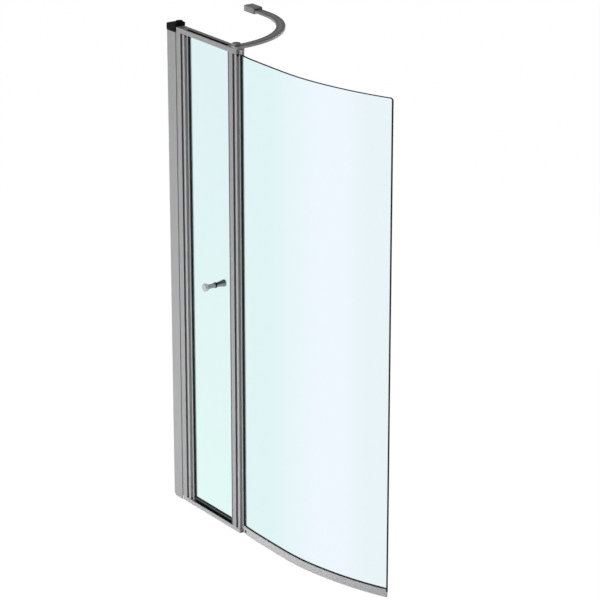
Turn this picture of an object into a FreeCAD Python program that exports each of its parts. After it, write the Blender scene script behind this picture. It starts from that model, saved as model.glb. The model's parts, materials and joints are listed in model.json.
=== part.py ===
import FreeCAD, Part
import math
import os
import types

import Sketcher

# A bath shower screen with an access door and a curved, pivoting glass panel.
# X runs out from the wall along the door, Y points into the bath and Z is up.
# The origin lies on the wall face, at mid depth and half the height of the frame.
# Each piece is drawn from the frame's underside, and place() lowers it by half that height.
# All sizes are millimetres, and bend_heading is in degrees.

doc = FreeCAD.newDocument("ShowerScreen")
sheet = doc.addObject("Spreadsheet::Sheet", "Sizes")

DRIVING_SIZES = {
    # Frame
    "frame_height": 1500,
    "frame_depth": 28,
    "skin": 1.6,
    "piece_clearance": 0.1,
    # Wall channel and its cap
    "wall_profile_width": 44,
    "wall_profile_skin": 1.7,
    "wall_profile_web": 2.4,
    "wall_profile_corner_cut": 8,
    "wall_hole_radius": 3,
    "wall_hole_pitch": 400,
    "slide_clearance": 0.3,
    "cap_skirt": 16,
    "cap_plate": 4,
    "cap_side": 1.5,
    "cap_overhang": 2,
    "cap_pad_length": 25,
    "cap_pad_width": 35,
    "cap_pad_rise": 6.5,
    "cap_round": 1.5,
    "cap_plug_radius": 10.5,
    "cap_plug_rise": 3.5,
    "cap_plug_setback": 11,
    "cap_plug_offset": 4.5,
    # Stiles
    "stile_inset": 16,
    "stile_reveal": 22.7,
    "door_opening": 248.8,
    "post_width": 16.9,
    "port_setback": 12,
    "port_web": 4,
    "wiper_width": 5,
    "wiper_depth": 3.5,
    "wiper_clearance": 0.3,
    "adjuster_pitch": 500,
    "adjuster_radius": 2,
    "adjuster_head_radius": 4,
    "adjuster_head_height": 2.4,
    "adjuster_length": 14,
    "adjuster_slack": 0.15,
    # Top rail and its corner blocks
    "rail_height": 14.3,
    "rail_wall": 2,
    "rail_groove_width": 8,
    "rail_groove_depth": 6,
    "rail_groove_setback": 4,
    "block_gap": 2,
    "hinge_block_length": 44,
    "post_block_length": 51.3,
    "spigot_length": 14,
    "spigot_fit": 0.2,
    # Sill and its feet
    "sill_height": 12.5,
    "sill_floor": 5,
    "sill_lip": 3,
    "foot_width": 28,
    "tongue_length": 18,
    "foot_fit": 0.2,
    # Corner screws
    "screw_radius": 1.9,
    "screw_hole_radius": 2.1,
    "screw_head_radius": 3.5,
    "screw_head_height": 3.5,
    "screw_length": 32,
    # Pivot hinges
    "nose_setback": 0.2,
    "nose_flat": 1.66,
    "hinge_gap": 0.8,
    "hinge_side": 5.4,
    "hinge_wall": 1.6,
    "hinge_clearance": 1,
    "leg_reach": 7,
    "leg_wall": 1.6,
    "slot_width": 8.4,
    "pin_radius": 2.5,
    "pin_reach": 16,
    "pin_seat": 7.5,
    "pin_fit": 0.05,
    "bearing_length": 25,
    "bearing_ear": 6,
    # Glass and its gaskets
    "glass_thickness": 6,
    "glass_fit": 0.05,
    "glass_bite": 6.2,
    "gasket_bite": 6,
    "gasket_reach": 5,
    "gasket_stand": 1.4,
    "gasket_round": 1,
    # Door
    "door_glass_lift": 16,
    "door_glass_top_gap": 2.7,
    "door_edge_gap": 6.5,
    "door_corner_round": 3,
    "edge_seal_leg": 14,
    "edge_seal_wall": 1,
    "edge_seal_tip_gap": 0.6,
    "edge_seal_lip": 1.2,
    "strike_setback": 5,
    "strike_thickness": 2.4,
    "strike_reach": 13,
    "strike_tongue": 3,
    "strike_gap": 0.3,
    "bottom_seal_width": 10,
    "bottom_seal_grip": 9,
    "bottom_seal_web": 3,
    "bottom_seal_fin": 1.5,
    "bottom_seal_floor_gap": 1,
    "bottom_seal_end_gap": 1,
    # Knob
    "knob_offset": 133.7,
    "knob_height": 750,
    "knob_length": 37,
    "knob_base_radius": 8,
    "knob_base_height": 2,
    "knob_neck_radius": 6,
    "knob_head_radius": 12,
    "knob_head_height": 6,
    "knob_flare": 12,
    "knob_edge": 1.2,
    "rear_knob_length": 31,
    "rear_knob_base_radius": 6,
    "rear_knob_rim_radius": 11,
    "rear_knob_rim_height": 3,
    "knob_hole_radius": 6,
    "stud_radius": 3,
    "stud_depth": 14,
    "washer_radius": 10,
    "washer_thickness": 1.2,
    "washer_sleeve": 1.8,
    # Curved panel
    "bend_radius": 1098,
    "bend_offset": 7.3,
    "bend_heading": 8.35,
    "panel_arc": 612,
    "panel_glass_lift": 17,
    "panel_top_gap": 0.7,
    "panel_corner_round": 8,
    "panel_rail_lift": 3,
    "panel_rail_height": 24,
    "panel_rail_thickness": 11,
    "panel_rail_clearance": 0.8,
    "panel_gasket_gap": 0.5,
    "drip_thickness": 3,
    "drip_seat": 5,
    "drip_drop": 2.3,
    "drip_fit": 0.1,
    "rail_screw_inset": 7,
    "rail_screw_height": 12.5,
    "rail_screw_head_radius": 3,
    "rail_screw_head_height": 1.2,
    "rail_screw_radius": 1.5,
    "rail_screw_length": 9,
    # Brace
    "arm_width": 26.8,
    "arm_thickness": 8,
    "arm_radius": 258,
    "arm_lead": 30,
    "arm_overhang": 1.8,
    "arm_line_offset": 6.5,
    "arm_line_width": 1.6,
    "arm_line_depth": 0.8,
    "arm_wall_gap": 12,
    "arm_screw_setback": 13.2,
    "arm_screw_offset": 6.5,
    "arm_screw_radius": 2.5,
    "arm_screw_length": 16,
    "arm_screw_head_radius": 4.5,
    "arm_screw_head_height": 2.8,
    "screw_cap_radius": 12,
    "screw_cap_height": 4.2,
    "screw_cap_round": 1.2,
    "end_bracket_reach": 15,
    "end_bracket_front": 4.5,
    "end_bracket_back": 2.5,
    "end_bracket_gap": 0.8,
    "end_bracket_round": 1.2,
    "end_screw_radius": 1.5,
    "end_screw_head_radius": 2.5,
    "end_screw_head_height": 2.5,
    "end_screw_length": 24,
    "end_screw_drop": 4.2,
    "bracket_reach": 50,
    "bracket_base": 9,
    "bracket_wall": 2,
    "bracket_roof_wall": 4.5,
    "bracket_round": 4,
    "bracket_top_round": 3,
    "bracket_hole_radius": 2.75,
    "liner_side": 1.1,
    "liner_under": 1.2,
    "liner_over": 2.4,
    "grub_radius": 2.5,
    "grub_setback": 17,
}


class Size:
    """A length held as a number and as the sheet expression that gives it."""

    def __init__(self, value, text):
        self.value = value
        self.text = text

    def __add__(self, other):
        other = as_size(other)
        return Size(self.value + other.value, f"({self.text} + {other.text})")

    def __sub__(self, other):
        other = as_size(other)
        return Size(self.value - other.value, f"({self.text} - {other.text})")

    def __mul__(self, factor):
        return Size(self.value * factor, f"({self.text} * {factor})")

    def __truediv__(self, factor):
        return Size(self.value / factor, f"({self.text} / {factor})")

    def over(self, other):
        return Size(self.value / other.value, f"({self.text} / {other.text})")

    def __neg__(self):
        return Size(-self.value, f"(-{self.text})")


def as_size(number):
    """Give a plain number the form of a size."""
    if isinstance(number, Size):
        return number
    return Size(number, str(number))


def ratio_degrees(arc, radius):
    """Give the angle, in degrees, that an arc's length spans at a radius."""
    value = math.degrees(arc.value / radius.value)
    return Size(value, f"({arc.text} / {radius.text} * 180 / pi)")


def sine(angle):
    """Give the sine of an angle in degrees."""
    return Size(math.sin(math.radians(angle.value)), f"sin({angle.text})")


def cosine(angle):
    """Give the cosine of an angle in degrees."""
    return Size(math.cos(math.radians(angle.value)), f"cos({angle.text})")


def product(first, second):
    """Give the product of two sizes."""
    return Size(first.value * second.value, f"({first.text} * {second.text})")


def root_of_squares(first, second):
    """Give the length of the diagonal over two sides."""
    value = math.hypot(first.value, second.value)
    return Size(value, f"sqrt({first.text} ^ 2 + {second.text} ^ 2)")


def side_under(diagonal, side):
    """Give the other short side of a right triangle."""
    value = math.sqrt(diagonal.value ** 2 - side.value ** 2)
    return Size(value, f"sqrt({diagonal.text} ^ 2 - {side.text} ^ 2)")


def fill_sheet():
    """Write every driving size to the sheet and return them by name."""
    sizes = {}
    for row, (name, value) in enumerate(DRIVING_SIZES.items(), start=1):
        sheet.set(f"A{row}", name)
        sheet.set(f"B{row}", str(value))
        sheet.setAlias(f"B{row}", name)
        sizes[name] = Size(value, f"Sizes.{name}")
    doc.recompute()
    return types.SimpleNamespace(**sizes)


s = fill_sheet()
ZERO = as_size(0)
UP = FreeCAD.Vector(0, 0, 1)

# Places that several pieces share
half_depth = s.frame_depth / 2
channel_half = half_depth + s.slide_clearance + s.wall_profile_skin
stile_face = s.wall_profile_width + s.stile_reveal
nose_radius = half_depth - s.nose_setback
door_axis = stile_face + s.hinge_gap + nose_radius
post_left = stile_face + s.door_opening
post_right = post_left + s.post_width
panel_axis = post_right + s.hinge_gap + nose_radius
rail_end = panel_axis + s.hinge_side
rail_bottom = s.frame_height - s.rail_height
stile_length = rail_bottom - s.sill_height
block_start = s.wall_profile_width + s.block_gap
rail_start = block_start + s.hinge_block_length
post_block_start = rail_end - s.post_block_length
sill_start = block_start + s.foot_width
hinge_bottom = s.sill_height + s.hinge_clearance
hinge_top = rail_bottom - s.hinge_clearance
hinge_length = hinge_top - hinge_bottom
hinge_port = stile_face - s.port_setback
post_port = post_left + s.post_width / 2
adjuster_x = (s.stile_inset + s.wall_profile_width) / 2
mid_height = s.frame_height / 2

# The hinge section, measured from its pivot axis
leg_end = s.hinge_side + s.leg_reach
slot_half = s.slot_width / 2
leg_half = slot_half + s.leg_wall
flat_half = side_under(nose_radius, s.nose_flat)
cavity_radius = nose_radius - s.hinge_wall
cavity_side = s.hinge_side - s.hinge_wall

glass_half = s.glass_thickness / 2
bore_radius = s.pin_radius + s.pin_fit


def place(item, x, y, z):
    """Tie an object's position to its sizes, with the height counted from the underside."""
    for axis, size in zip("xyz", (x, y, as_size(z) - mid_height)):
        item.setExpression(f"Placement.Base.{axis}", as_size(size).text)


def new_body(label, x=ZERO, y=ZERO, z=ZERO, turn=None):
    """Start a sub-part whose own origin stands at x, y, z, turned if asked."""
    body = doc.addObject("PartDesign::Body", label)
    body.Label = label
    if turn is not None:
        body.Placement = FreeCAD.Placement(FreeCAD.Vector(), turn)
    place(body, x, y, z)
    return body


def new_sketch(body, role, lift=None):
    """Start a sketch on one of the body's own origin planes, lifted off it if asked."""
    sketch = body.newObject("Sketcher::SketchObject", "Sketch")
    plane = next(item for item in body.Origin.OriginFeatures if item.Role == role)
    sketch.AttachmentSupport = [(plane, "")]
    sketch.MapMode = "FlatFace"
    if lift is not None:
        sketch.setExpression("AttachmentOffset.Base.z", lift.text)
    return sketch


def tie(sketch, kind, *target_and_size):
    """Add a dimension to the sketch and bind it to its size."""
    *target, size = target_and_size
    size = as_size(size)
    index = sketch.addConstraint(Sketcher.Constraint(kind, *target, size.value))
    sketch.setExpression(f"Constraints[{index}]", size.text)


def outline(sketch, corners, bends=None):
    """Close a loop through the corners; bends maps an edge's number to (middle, centre x)."""
    bends = bends or {}
    corners = [(as_size(x), as_size(y)) for x, y in corners]
    points = [FreeCAD.Vector(x.value, y.value, 0) for x, y in corners]
    count = len(points)
    ends = []
    for number in range(count):
        start = points[number]
        finish = points[(number + 1) % count]
        if number in bends:
            middle = FreeCAD.Vector(*[as_size(size).value for size in bends[number][0]], 0)
            curve = Part.Arc(start, middle, finish)
            edge = sketch.addGeometry(curve)
            forward = sketch.getPoint(edge, 1).isEqual(start, 1e-6)
            ends.append((edge, 1, 2) if forward else (edge, 2, 1))
        else:
            edge = sketch.addGeometry(Part.LineSegment(start, finish))
            ends.append((edge, 1, 2))
    for number in range(count):
        edge, _, last = ends[number]
        following, first, _ = ends[(number + 1) % count]
        sketch.addConstraint(Sketcher.Constraint("Coincident", edge, last, following, first))
    for number, (x, y) in enumerate(corners):
        edge, first, _ = ends[number]
        tie(sketch, "DistanceX", -1, 1, edge, first, x)
        tie(sketch, "DistanceY", -1, 1, edge, first, y)
    for number, (_, centre_x) in bends.items():
        tie(sketch, "DistanceX", -1, 1, ends[number][0], 3, centre_x)


def rectangle(sketch, x0, y0, x1, y1):
    """Draw a rectangle between two opposite corners."""
    outline(sketch, [(x0, y0), (x1, y0), (x1, y1), (x0, y1)])


def ring(sketch, x, y, radius):
    """Draw a circle about x, y."""
    x, y = as_size(x), as_size(y)
    circle = Part.Circle(FreeCAD.Vector(x.value, y.value, 0), UP, radius.value)
    edge = sketch.addGeometry(circle)
    tie(sketch, "DistanceX", -1, 1, edge, 3, x)
    tie(sketch, "DistanceY", -1, 1, edge, 3, y)
    tie(sketch, "Radius", edge, radius)


def pad(body, sketch, length, reverse=False):
    """Raise a sketch into a solid."""
    feature = body.newObject("PartDesign::Pad", "Pad")
    feature.Profile = sketch
    feature.Reversed = reverse
    feature.setExpression("Length", length.text)
    return feature


def cut(body, sketch, length=None, reverse=False):
    """Cut a sketch out of the solid, to a depth or right through both ways."""
    doc.recompute()
    before = body.Shape.Volume
    feature = body.newObject("PartDesign::Pocket", "Pocket")
    feature.Profile = sketch
    feature.Reversed = reverse
    if length is None:
        feature.Type = "ThroughAll"
        feature.Midplane = True
    else:
        feature.setExpression("Length", length.text)
    doc.recompute()
    if body.Shape.Volume >= before:
        raise RuntimeError(f"a cut in {body.Label} takes nothing away")
    return feature


def turn_profile(body, sketch, angle=None):
    """Turn a sketch about the body's Z axis, all round or through an angle."""
    feature = body.newObject("PartDesign::Revolution", "Revolution")
    feature.Profile = sketch
    feature.ReferenceAxis = (sketch, ["V_Axis"])
    if angle is not None:
        feature.setExpression("Angle", angle.text)
    return feature


def round_edges(body, radius, wanted):
    """Round the edges for which wanted(edge) holds."""
    doc.recompute()
    base = body.Tip
    edges = enumerate(base.Shape.Edges, start=1)
    names = [f"Edge{number}" for number, edge in edges if wanted(edge)]
    feature = body.newObject("PartDesign::Fillet", "Fillet")
    feature.Base = (base, names)
    feature.setExpression("Radius", radius.text)
    return feature


def is_level(edge, height):
    """Tell whether an edge lies all at one height in its body."""
    box = edge.BoundBox
    return abs(box.ZMin - height.value) < 1e-3 and abs(box.ZMax - height.value) < 1e-3


def is_upright(edge):
    """Tell whether an edge is a straight line along Z."""
    box = edge.BoundBox
    return box.XLength < 1e-3 and box.YLength < 1e-3


def cylinder(radius, height, x, y, z, turn=None):
    """Make a round bar that starts at x, y, z."""
    bar = doc.addObject("Part::Cylinder", "Bar")
    bar.setExpression("Radius", radius.text)
    bar.setExpression("Height", height.text)
    if turn is not None:
        bar.Placement = FreeCAD.Placement(FreeCAD.Vector(), turn)
    place(bar, x, y, z)
    return bar


def joined(kind, label, first, second):
    """Join or cut two objects of the document."""
    item = doc.addObject(f"Part::{kind}", label)
    item.Base = first
    item.Tool = second
    item.Label = label
    return item


def group(label, items):
    """Gather identical pieces under one name."""
    item = doc.addObject("Part::Compound", label)
    item.Links = items
    item.Label = label
    return item


ALONG_X = FreeCAD.Rotation(FreeCAD.Vector(0, 1, 0), 90)
AGAINST_X = FreeCAD.Rotation(FreeCAD.Vector(0, 1, 0), -90)
ALONG_Y = FreeCAD.Rotation(FreeCAD.Vector(1, 0, 0), -90)
AGAINST_Y = FreeCAD.Rotation(FreeCAD.Vector(1, 0, 0), 90)
DOWN = FreeCAD.Rotation(FreeCAD.Vector(1, 0, 0), 180)


def turned_screw(label, sizes, x, y, z, turn=None):
    """Make a screw whose head stands on z = 0 and whose shank runs along -Z before its turn."""
    head_radius, head_height, shank_radius, length = sizes
    body = new_body(label, x, y, z, turn)
    section = new_sketch(body, "XZ_Plane")
    outline(section, [
        (ZERO, -length), (shank_radius, -length), (shank_radius, ZERO),
        (head_radius, ZERO), (head_radius, head_height), (ZERO, head_height),
    ])
    turn_profile(body, section)
    return body


def three_heights(pitch):
    """Give three heights a pitch apart about the frame's middle."""
    return [mid_height - pitch, mid_height, mid_height + pitch]


def wall_profile():
    """The channel on the wall: a web with wall holes and two flanges that take the stile."""
    body = new_body("wall_profile")
    width = s.wall_profile_width
    inner_half = channel_half - s.wall_profile_skin
    section = new_sketch(body, "XY_Plane")
    outline(section, [
        (0, -channel_half), (width, -channel_half), (width, -inner_half),
        (s.wall_profile_web, -inner_half), (s.wall_profile_web, inner_half),
        (width, inner_half), (width, channel_half), (0, channel_half),
    ])
    pad(body, section, s.frame_height - s.cap_skirt)
    corner = new_sketch(body, "XZ_Plane")
    outline(corner, [(0, 0), (s.wall_profile_corner_cut, 0), (0, s.wall_profile_corner_cut)])
    cut(body, corner)
    holes = new_sketch(body, "YZ_Plane")
    for step in (-1.5, -0.5, 0.5, 1.5):
        ring(holes, 0, mid_height + s.wall_hole_pitch * step, s.wall_hole_radius)
    cut(body, holes)
    adjusters = new_sketch(body, "XZ_Plane")
    for height in three_heights(s.adjuster_pitch):
        ring(adjusters, adjuster_x, height, s.adjuster_radius + s.adjuster_slack)
    cut(body, adjusters, channel_half)
    return body


def wall_profile_cap():
    """The moulded cap: a skirt that carries on the channel, a plate, a raised block and a plug."""
    body = new_body("wall_profile_cap", z=s.frame_height - s.cap_skirt)
    inner_half = channel_half - s.wall_profile_skin
    outer_half = channel_half + s.cap_side
    reach = s.wall_profile_width + s.cap_overhang
    skirt = new_sketch(body, "XY_Plane")
    outline(skirt, [
        (0, -outer_half), (s.wall_profile_width, -outer_half),
        (s.wall_profile_width, -inner_half), (s.wall_profile_web, -inner_half),
        (s.wall_profile_web, inner_half), (s.wall_profile_width, inner_half),
        (s.wall_profile_width, outer_half), (0, outer_half),
    ])
    pad(body, skirt, s.cap_skirt)
    plate = new_sketch(body, "XY_Plane", s.cap_skirt)
    rectangle(plate, 0, -outer_half, reach, outer_half)
    pad(body, plate, s.cap_plate)
    plate_top = s.cap_skirt + s.cap_plate
    raised = new_sketch(body, "XY_Plane", plate_top)
    pad_half = s.cap_pad_width / 2
    rectangle(raised, reach - s.cap_pad_length, -pad_half, reach, pad_half)
    pad(body, raised, s.cap_pad_rise)
    pad_top = plate_top + s.cap_pad_rise
    round_edges(body, s.cap_round, lambda edge: is_level(edge, pad_top))
    plug = new_sketch(body, "XY_Plane", pad_top)
    ring(plug, reach - s.cap_plug_setback, s.cap_plug_offset, s.cap_plug_radius)
    pad(body, plug, s.cap_plug_rise)
    plug_top = pad_top + s.cap_plug_rise
    round_edges(body, s.cap_round, lambda edge: is_level(edge, plug_top))
    return body


def hinge_stile():
    """The stile beside the wall: a hollow box with a screw port and a groove for its wiper."""
    body = new_body("hinge_stile", z=s.sill_height)
    wiper_half = s.wiper_width / 2
    groove = stile_face - s.wiper_depth
    section = new_sketch(body, "XY_Plane")
    outline(section, [
        (s.stile_inset, -half_depth), (stile_face, -half_depth), (stile_face, -wiper_half),
        (groove, -wiper_half), (groove, wiper_half), (stile_face, wiper_half),
        (stile_face, half_depth), (s.stile_inset, half_depth),
    ])
    hollow_half = half_depth - s.skin
    rectangle(section, s.stile_inset + s.skin, -hollow_half, hinge_port - s.port_web, hollow_half)
    ring(section, hinge_port, 0, s.screw_hole_radius)
    pad(body, section, stile_length)
    adjusters = new_sketch(body, "XZ_Plane")
    for height in three_heights(s.adjuster_pitch):
        hole_radius = s.adjuster_radius + s.piece_clearance
        ring(adjusters, adjuster_x, height - s.sill_height, hole_radius)
    cut(body, adjusters, half_depth)
    return body


def lock_stile():
    """The post: hollow on both sides of its screw port, grooved for wiper and strike seal."""
    body = new_body("lock_stile", z=s.sill_height)
    wiper_half = s.wiper_width / 2
    groove = post_right - s.wiper_depth
    strike_front = -half_depth + s.strike_setback
    strike_back = strike_front + s.strike_thickness
    strike_floor = post_left + s.strike_tongue
    section = new_sketch(body, "XY_Plane")
    outline(section, [
        (post_left, -half_depth), (post_right, -half_depth), (post_right, -wiper_half),
        (groove, -wiper_half), (groove, wiper_half), (post_right, wiper_half),
        (post_right, half_depth), (post_left, half_depth), (post_left, strike_back),
        (strike_floor, strike_back), (strike_floor, strike_front), (post_left, strike_front),
    ])
    hollow_start = strike_floor + s.skin
    hollow_end = groove - s.skin
    for near, far in ((-(half_depth - s.skin), -s.port_web), (s.port_web, half_depth - s.skin)):
        rectangle(section, hollow_start, near, hollow_end, far)
    ring(section, post_port, 0, s.screw_hole_radius)
    pad(body, section, stile_length)
    return body


def wiper(label, face):
    """A black strip in the stile's groove, which reaches almost to the hinge's round nose."""
    body = new_body(label, x=face, z=s.sill_height)
    base_half = s.wiper_width / 2 - s.piece_clearance
    tip_half = base_half / 2
    tip = s.hinge_gap - s.wiper_clearance
    floor = s.piece_clearance - s.wiper_depth
    section = new_sketch(body, "XY_Plane")
    outline(section, [
        (floor, -base_half), (0, -base_half), (tip, -tip_half),
        (tip, tip_half), (0, base_half), (floor, base_half),
    ])
    pad(body, section, stile_length)
    return body


def strike_seal():
    """The strip that stands out of the post on the room side and stops the closing door."""
    body = new_body("strike_seal", x=post_left, y=s.strike_setback - half_depth, z=s.sill_height)
    clear = s.piece_clearance
    section = new_sketch(body, "XY_Plane")
    rectangle(section, -s.strike_reach, clear, s.strike_tongue - clear, s.strike_thickness - clear)
    pad(body, section, stile_length)
    return body


def adjustment_screws():
    """Pan-head screws that lock the stile in the channel from the bath side."""
    head = (s.adjuster_head_radius, s.adjuster_head_height, s.adjuster_radius, s.adjuster_length)
    heights = three_heights(s.adjuster_pitch)
    screws = [
        turned_screw("AdjustmentScrew", head, adjuster_x, channel_half, height, ALONG_Y)
        for height in heights
    ]
    return group("adjustment_screws", screws)


def top_rail():
    """The header: a box extrusion with one deep groove along its top."""
    body = new_body("top_rail", x=rail_start, z=rail_bottom)
    groove_front = -half_depth + s.rail_groove_setback
    groove_back = groove_front + s.rail_groove_width
    groove_floor = s.rail_height - s.rail_groove_depth
    section = new_sketch(body, "YZ_Plane")
    outline(section, [
        (-half_depth, 0), (half_depth, 0), (half_depth, s.rail_height),
        (groove_back, s.rail_height), (groove_back, groove_floor),
        (groove_front, groove_floor), (groove_front, s.rail_height), (-half_depth, s.rail_height),
    ])
    hollow_half = half_depth - s.rail_wall
    rectangle(section, -hollow_half, s.rail_wall, hollow_half, groove_floor - s.rail_wall)
    pad(body, section, post_block_start - rail_start)
    return body


def counterbored_hole(body, x, y, top, through):
    """Sink a screw's head in the face at the height top and let its shank through."""
    head = new_sketch(body, "XY_Plane", top)
    ring(head, x, y, s.screw_head_radius + s.piece_clearance)
    cut(body, head, s.screw_head_height)
    shank = new_sketch(body, "XY_Plane", top)
    ring(shank, x, y, s.screw_hole_radius)
    cut(body, shank, through)


def corner_block(label, start, length, port, axis, spigot_start, spigot_end):
    """A cast top corner: a block flush with the rail, its spigot, a pin seat and a screw hole."""
    body = new_body(label, z=rail_bottom)
    block = new_sketch(body, "XY_Plane")
    rectangle(block, start, -half_depth, start + length, half_depth)
    pad(body, block, s.rail_height)
    spigot_half = half_depth - s.rail_wall - s.spigot_fit
    spigot_floor = s.rail_wall + s.spigot_fit
    spigot_height = s.rail_height - s.rail_groove_depth - spigot_floor * 2
    spigot = new_sketch(body, "XY_Plane", spigot_floor)
    rectangle(spigot, spigot_start, -spigot_half, spigot_end, spigot_half)
    pad(body, spigot, spigot_height)
    counterbored_hole(body, port, 0, s.rail_height, s.rail_height)
    seat = new_sketch(body, "XY_Plane", s.pin_seat)
    ring(seat, axis, 0, bore_radius)
    cut(body, seat, s.pin_seat)
    return body


def hinge_corner_block():
    """The top corner beside the wall."""
    end = rail_start
    length = s.hinge_block_length
    return corner_block("hinge_corner_block", block_start, length, hinge_port, door_axis,
                        end, end + s.spigot_length)


def post_corner_block():
    """The top corner over the post, with tapped holes for the brace."""
    start = post_block_start
    body = corner_block("post_corner_block", start, s.post_block_length, post_port, panel_axis,
                        start - s.spigot_length, start)
    arm_hole = new_sketch(body, "XY_Plane", s.rail_height)
    ring(arm_hole, arm_screw_x, arm_screw_y, s.arm_screw_radius + s.piece_clearance)
    cut(body, arm_hole, s.arm_screw_length - s.arm_thickness + s.piece_clearance)
    end_hole = new_sketch(body, "YZ_Plane", rail_end)
    end_hole_radius = s.end_screw_radius + s.piece_clearance
    ring(end_hole, end_screw_y, s.rail_height - s.end_screw_drop, end_hole_radius)
    cut(body, end_hole, s.end_screw_length - s.end_bracket_reach + s.piece_clearance)
    return body


def sill():
    """The threshold: a floor and a front lip that keeps the water in."""
    body = new_body("sill", x=sill_start)
    lip = s.sill_lip - half_depth
    section = new_sketch(body, "YZ_Plane")
    outline(section, [
        (-half_depth, 0), (half_depth, 0), (half_depth, s.sill_floor),
        (lip, s.sill_floor), (lip, s.sill_height), (-half_depth, s.sill_height),
    ])
    pad(body, section, rail_end - sill_start)
    screw = new_sketch(body, "XY_Plane")
    ring(screw, post_port - sill_start, 0, s.screw_head_radius + s.piece_clearance)
    cut(body, screw)
    return body


def hinge_foot():
    """The moulded foot under the hinge stile, with a tongue on the sill that seats the pin."""
    body = new_body("hinge_foot")
    foot = new_sketch(body, "XY_Plane")
    foot_end = sill_start - s.foot_fit
    rectangle(foot, block_start, -half_depth, foot_end, half_depth)
    pad(body, foot, s.sill_height)
    tongue = new_sketch(body, "XY_Plane", s.sill_floor)
    tongue_front = s.sill_lip - half_depth + s.foot_fit
    rectangle(tongue, foot_end, tongue_front, foot_end + s.tongue_length, -tongue_front)
    pad(body, tongue, s.sill_height - s.sill_floor)
    seat = new_sketch(body, "XY_Plane", s.sill_height)
    ring(seat, door_axis, 0, bore_radius)
    cut(body, seat, s.sill_height - s.sill_floor)
    head = new_sketch(body, "XY_Plane", s.screw_head_height)
    ring(head, hinge_port, 0, s.screw_head_radius + s.piece_clearance)
    cut(body, head, s.screw_head_height)
    shank = new_sketch(body, "XY_Plane", s.sill_height)
    ring(shank, hinge_port, 0, s.screw_hole_radius)
    cut(body, shank, s.sill_height)
    return body


def post_foot():
    """The block on the sill under the post, which seats the panel's lower pin."""
    body = new_body("post_foot", z=s.sill_floor)
    height = s.sill_height - s.sill_floor
    block = new_sketch(body, "XY_Plane")
    rectangle(block, post_left, s.sill_lip - half_depth + s.foot_fit, rail_end, half_depth)
    pad(body, block, height)
    holes = new_sketch(body, "XY_Plane", height)
    ring(holes, panel_axis, 0, bore_radius)
    ring(holes, post_port, 0, s.screw_hole_radius)
    cut(body, holes, height)
    return body


def corner_screws():
    """The four screws that hold the top and bottom corners on the stiles."""
    sizes = (s.screw_head_radius, s.screw_head_height, s.screw_radius, s.screw_length)
    top = s.frame_height - s.screw_head_height
    foot_seat = s.screw_head_height
    sill_seat = s.sill_floor
    screws = [
        turned_screw("CornerScrew", sizes, hinge_port, 0, top),
        turned_screw("CornerScrew", sizes, post_port, 0, top),
        turned_screw("CornerScrew", sizes, hinge_port, 0, foot_seat, DOWN),
        turned_screw("CornerScrew", sizes, post_port, 0, sill_seat, DOWN),
    ]
    return group("corner_screws", screws)


def pivot_pins():
    """Four round pins: seated in the frame's corners, they run in the hinges' bearings."""
    lower_length = hinge_bottom + s.pin_reach - s.sill_floor
    upper_start = hinge_top - s.pin_reach
    upper_length = rail_bottom + s.pin_seat - upper_start
    pins = []
    for name, axis in (("door", door_axis), ("panel", panel_axis)):
        for end, start, length in (
            ("bottom", s.sill_floor, lower_length),
            ("top", upper_start, upper_length),
        ):
            pin = cylinder(s.pin_radius, length, axis, 0, start)
            pin.Label = f"{name}_{end}_pin"
            pins.append(pin)
    return pins


def hinge_profile(label, axis):
    """The hinge extrusion: a round nose about the pivot, a hollow body and a leg for the glass."""
    body = new_body(label, x=axis, z=hinge_bottom)
    section = new_sketch(body, "XY_Plane")
    side = s.hinge_side
    flat_start = -s.nose_flat
    outline(section, [
        (flat_start, -flat_half), (side, -flat_half), (side, -leg_half), (leg_end, -leg_half),
        (leg_end, -slot_half), (side, -slot_half), (side, slot_half), (leg_end, slot_half),
        (leg_end, leg_half), (side, leg_half), (side, flat_half), (flat_start, flat_half),
    ], {11: ((-nose_radius, 0), 0)})
    outline(section, [
        (0, -cavity_radius), (cavity_side, -cavity_radius), (cavity_side, cavity_radius),
        (0, cavity_radius),
    ], {3: ((-cavity_radius, 0), 0)})
    pad(body, section, hinge_length)
    for top in (s.bearing_ear, hinge_length):
        notches = new_sketch(body, "XY_Plane", top)
        rectangle(notches, cavity_side, -cavity_radius, side, -leg_half)
        rectangle(notches, cavity_side, leg_half, side, cavity_radius)
        cut(body, notches, s.bearing_ear)
    return body


def bearing(label, axis, bottom, ear_bottom):
    """A black plug in the hinge's end, with ears in its notches and a bore for the pin."""
    body = new_body(label, x=axis, z=bottom)
    clear = s.piece_clearance
    radius = cavity_radius - clear
    plug_side = cavity_side - clear
    plug = new_sketch(body, "XY_Plane")
    outline(plug, [
        (0, -radius), (plug_side, -radius), (plug_side, radius), (0, radius),
    ], {3: ((-radius, 0), 0)})
    pad(body, plug, s.bearing_length)
    ears = new_sketch(body, "XY_Plane", ear_bottom)
    ear_near = leg_half + clear
    rectangle(ears, plug_side, -radius, s.hinge_side, -ear_near)
    rectangle(ears, plug_side, ear_near, s.hinge_side, radius)
    pad(body, ears, s.bearing_ear - clear)
    bore = new_sketch(body, "XY_Plane")
    ring(bore, 0, 0, bore_radius)
    cut(body, bore)
    return body


def bearings(name, axis):
    """The lower and the upper bearing of one hinge."""
    upper = hinge_top - s.bearing_length
    upper_ear = s.bearing_length - s.bearing_ear + s.piece_clearance
    return [
        bearing(f"{name}_bottom_bearing", axis, hinge_bottom, ZERO),
        bearing(f"{name}_top_bearing", axis, upper, upper_ear),
    ]


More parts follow.
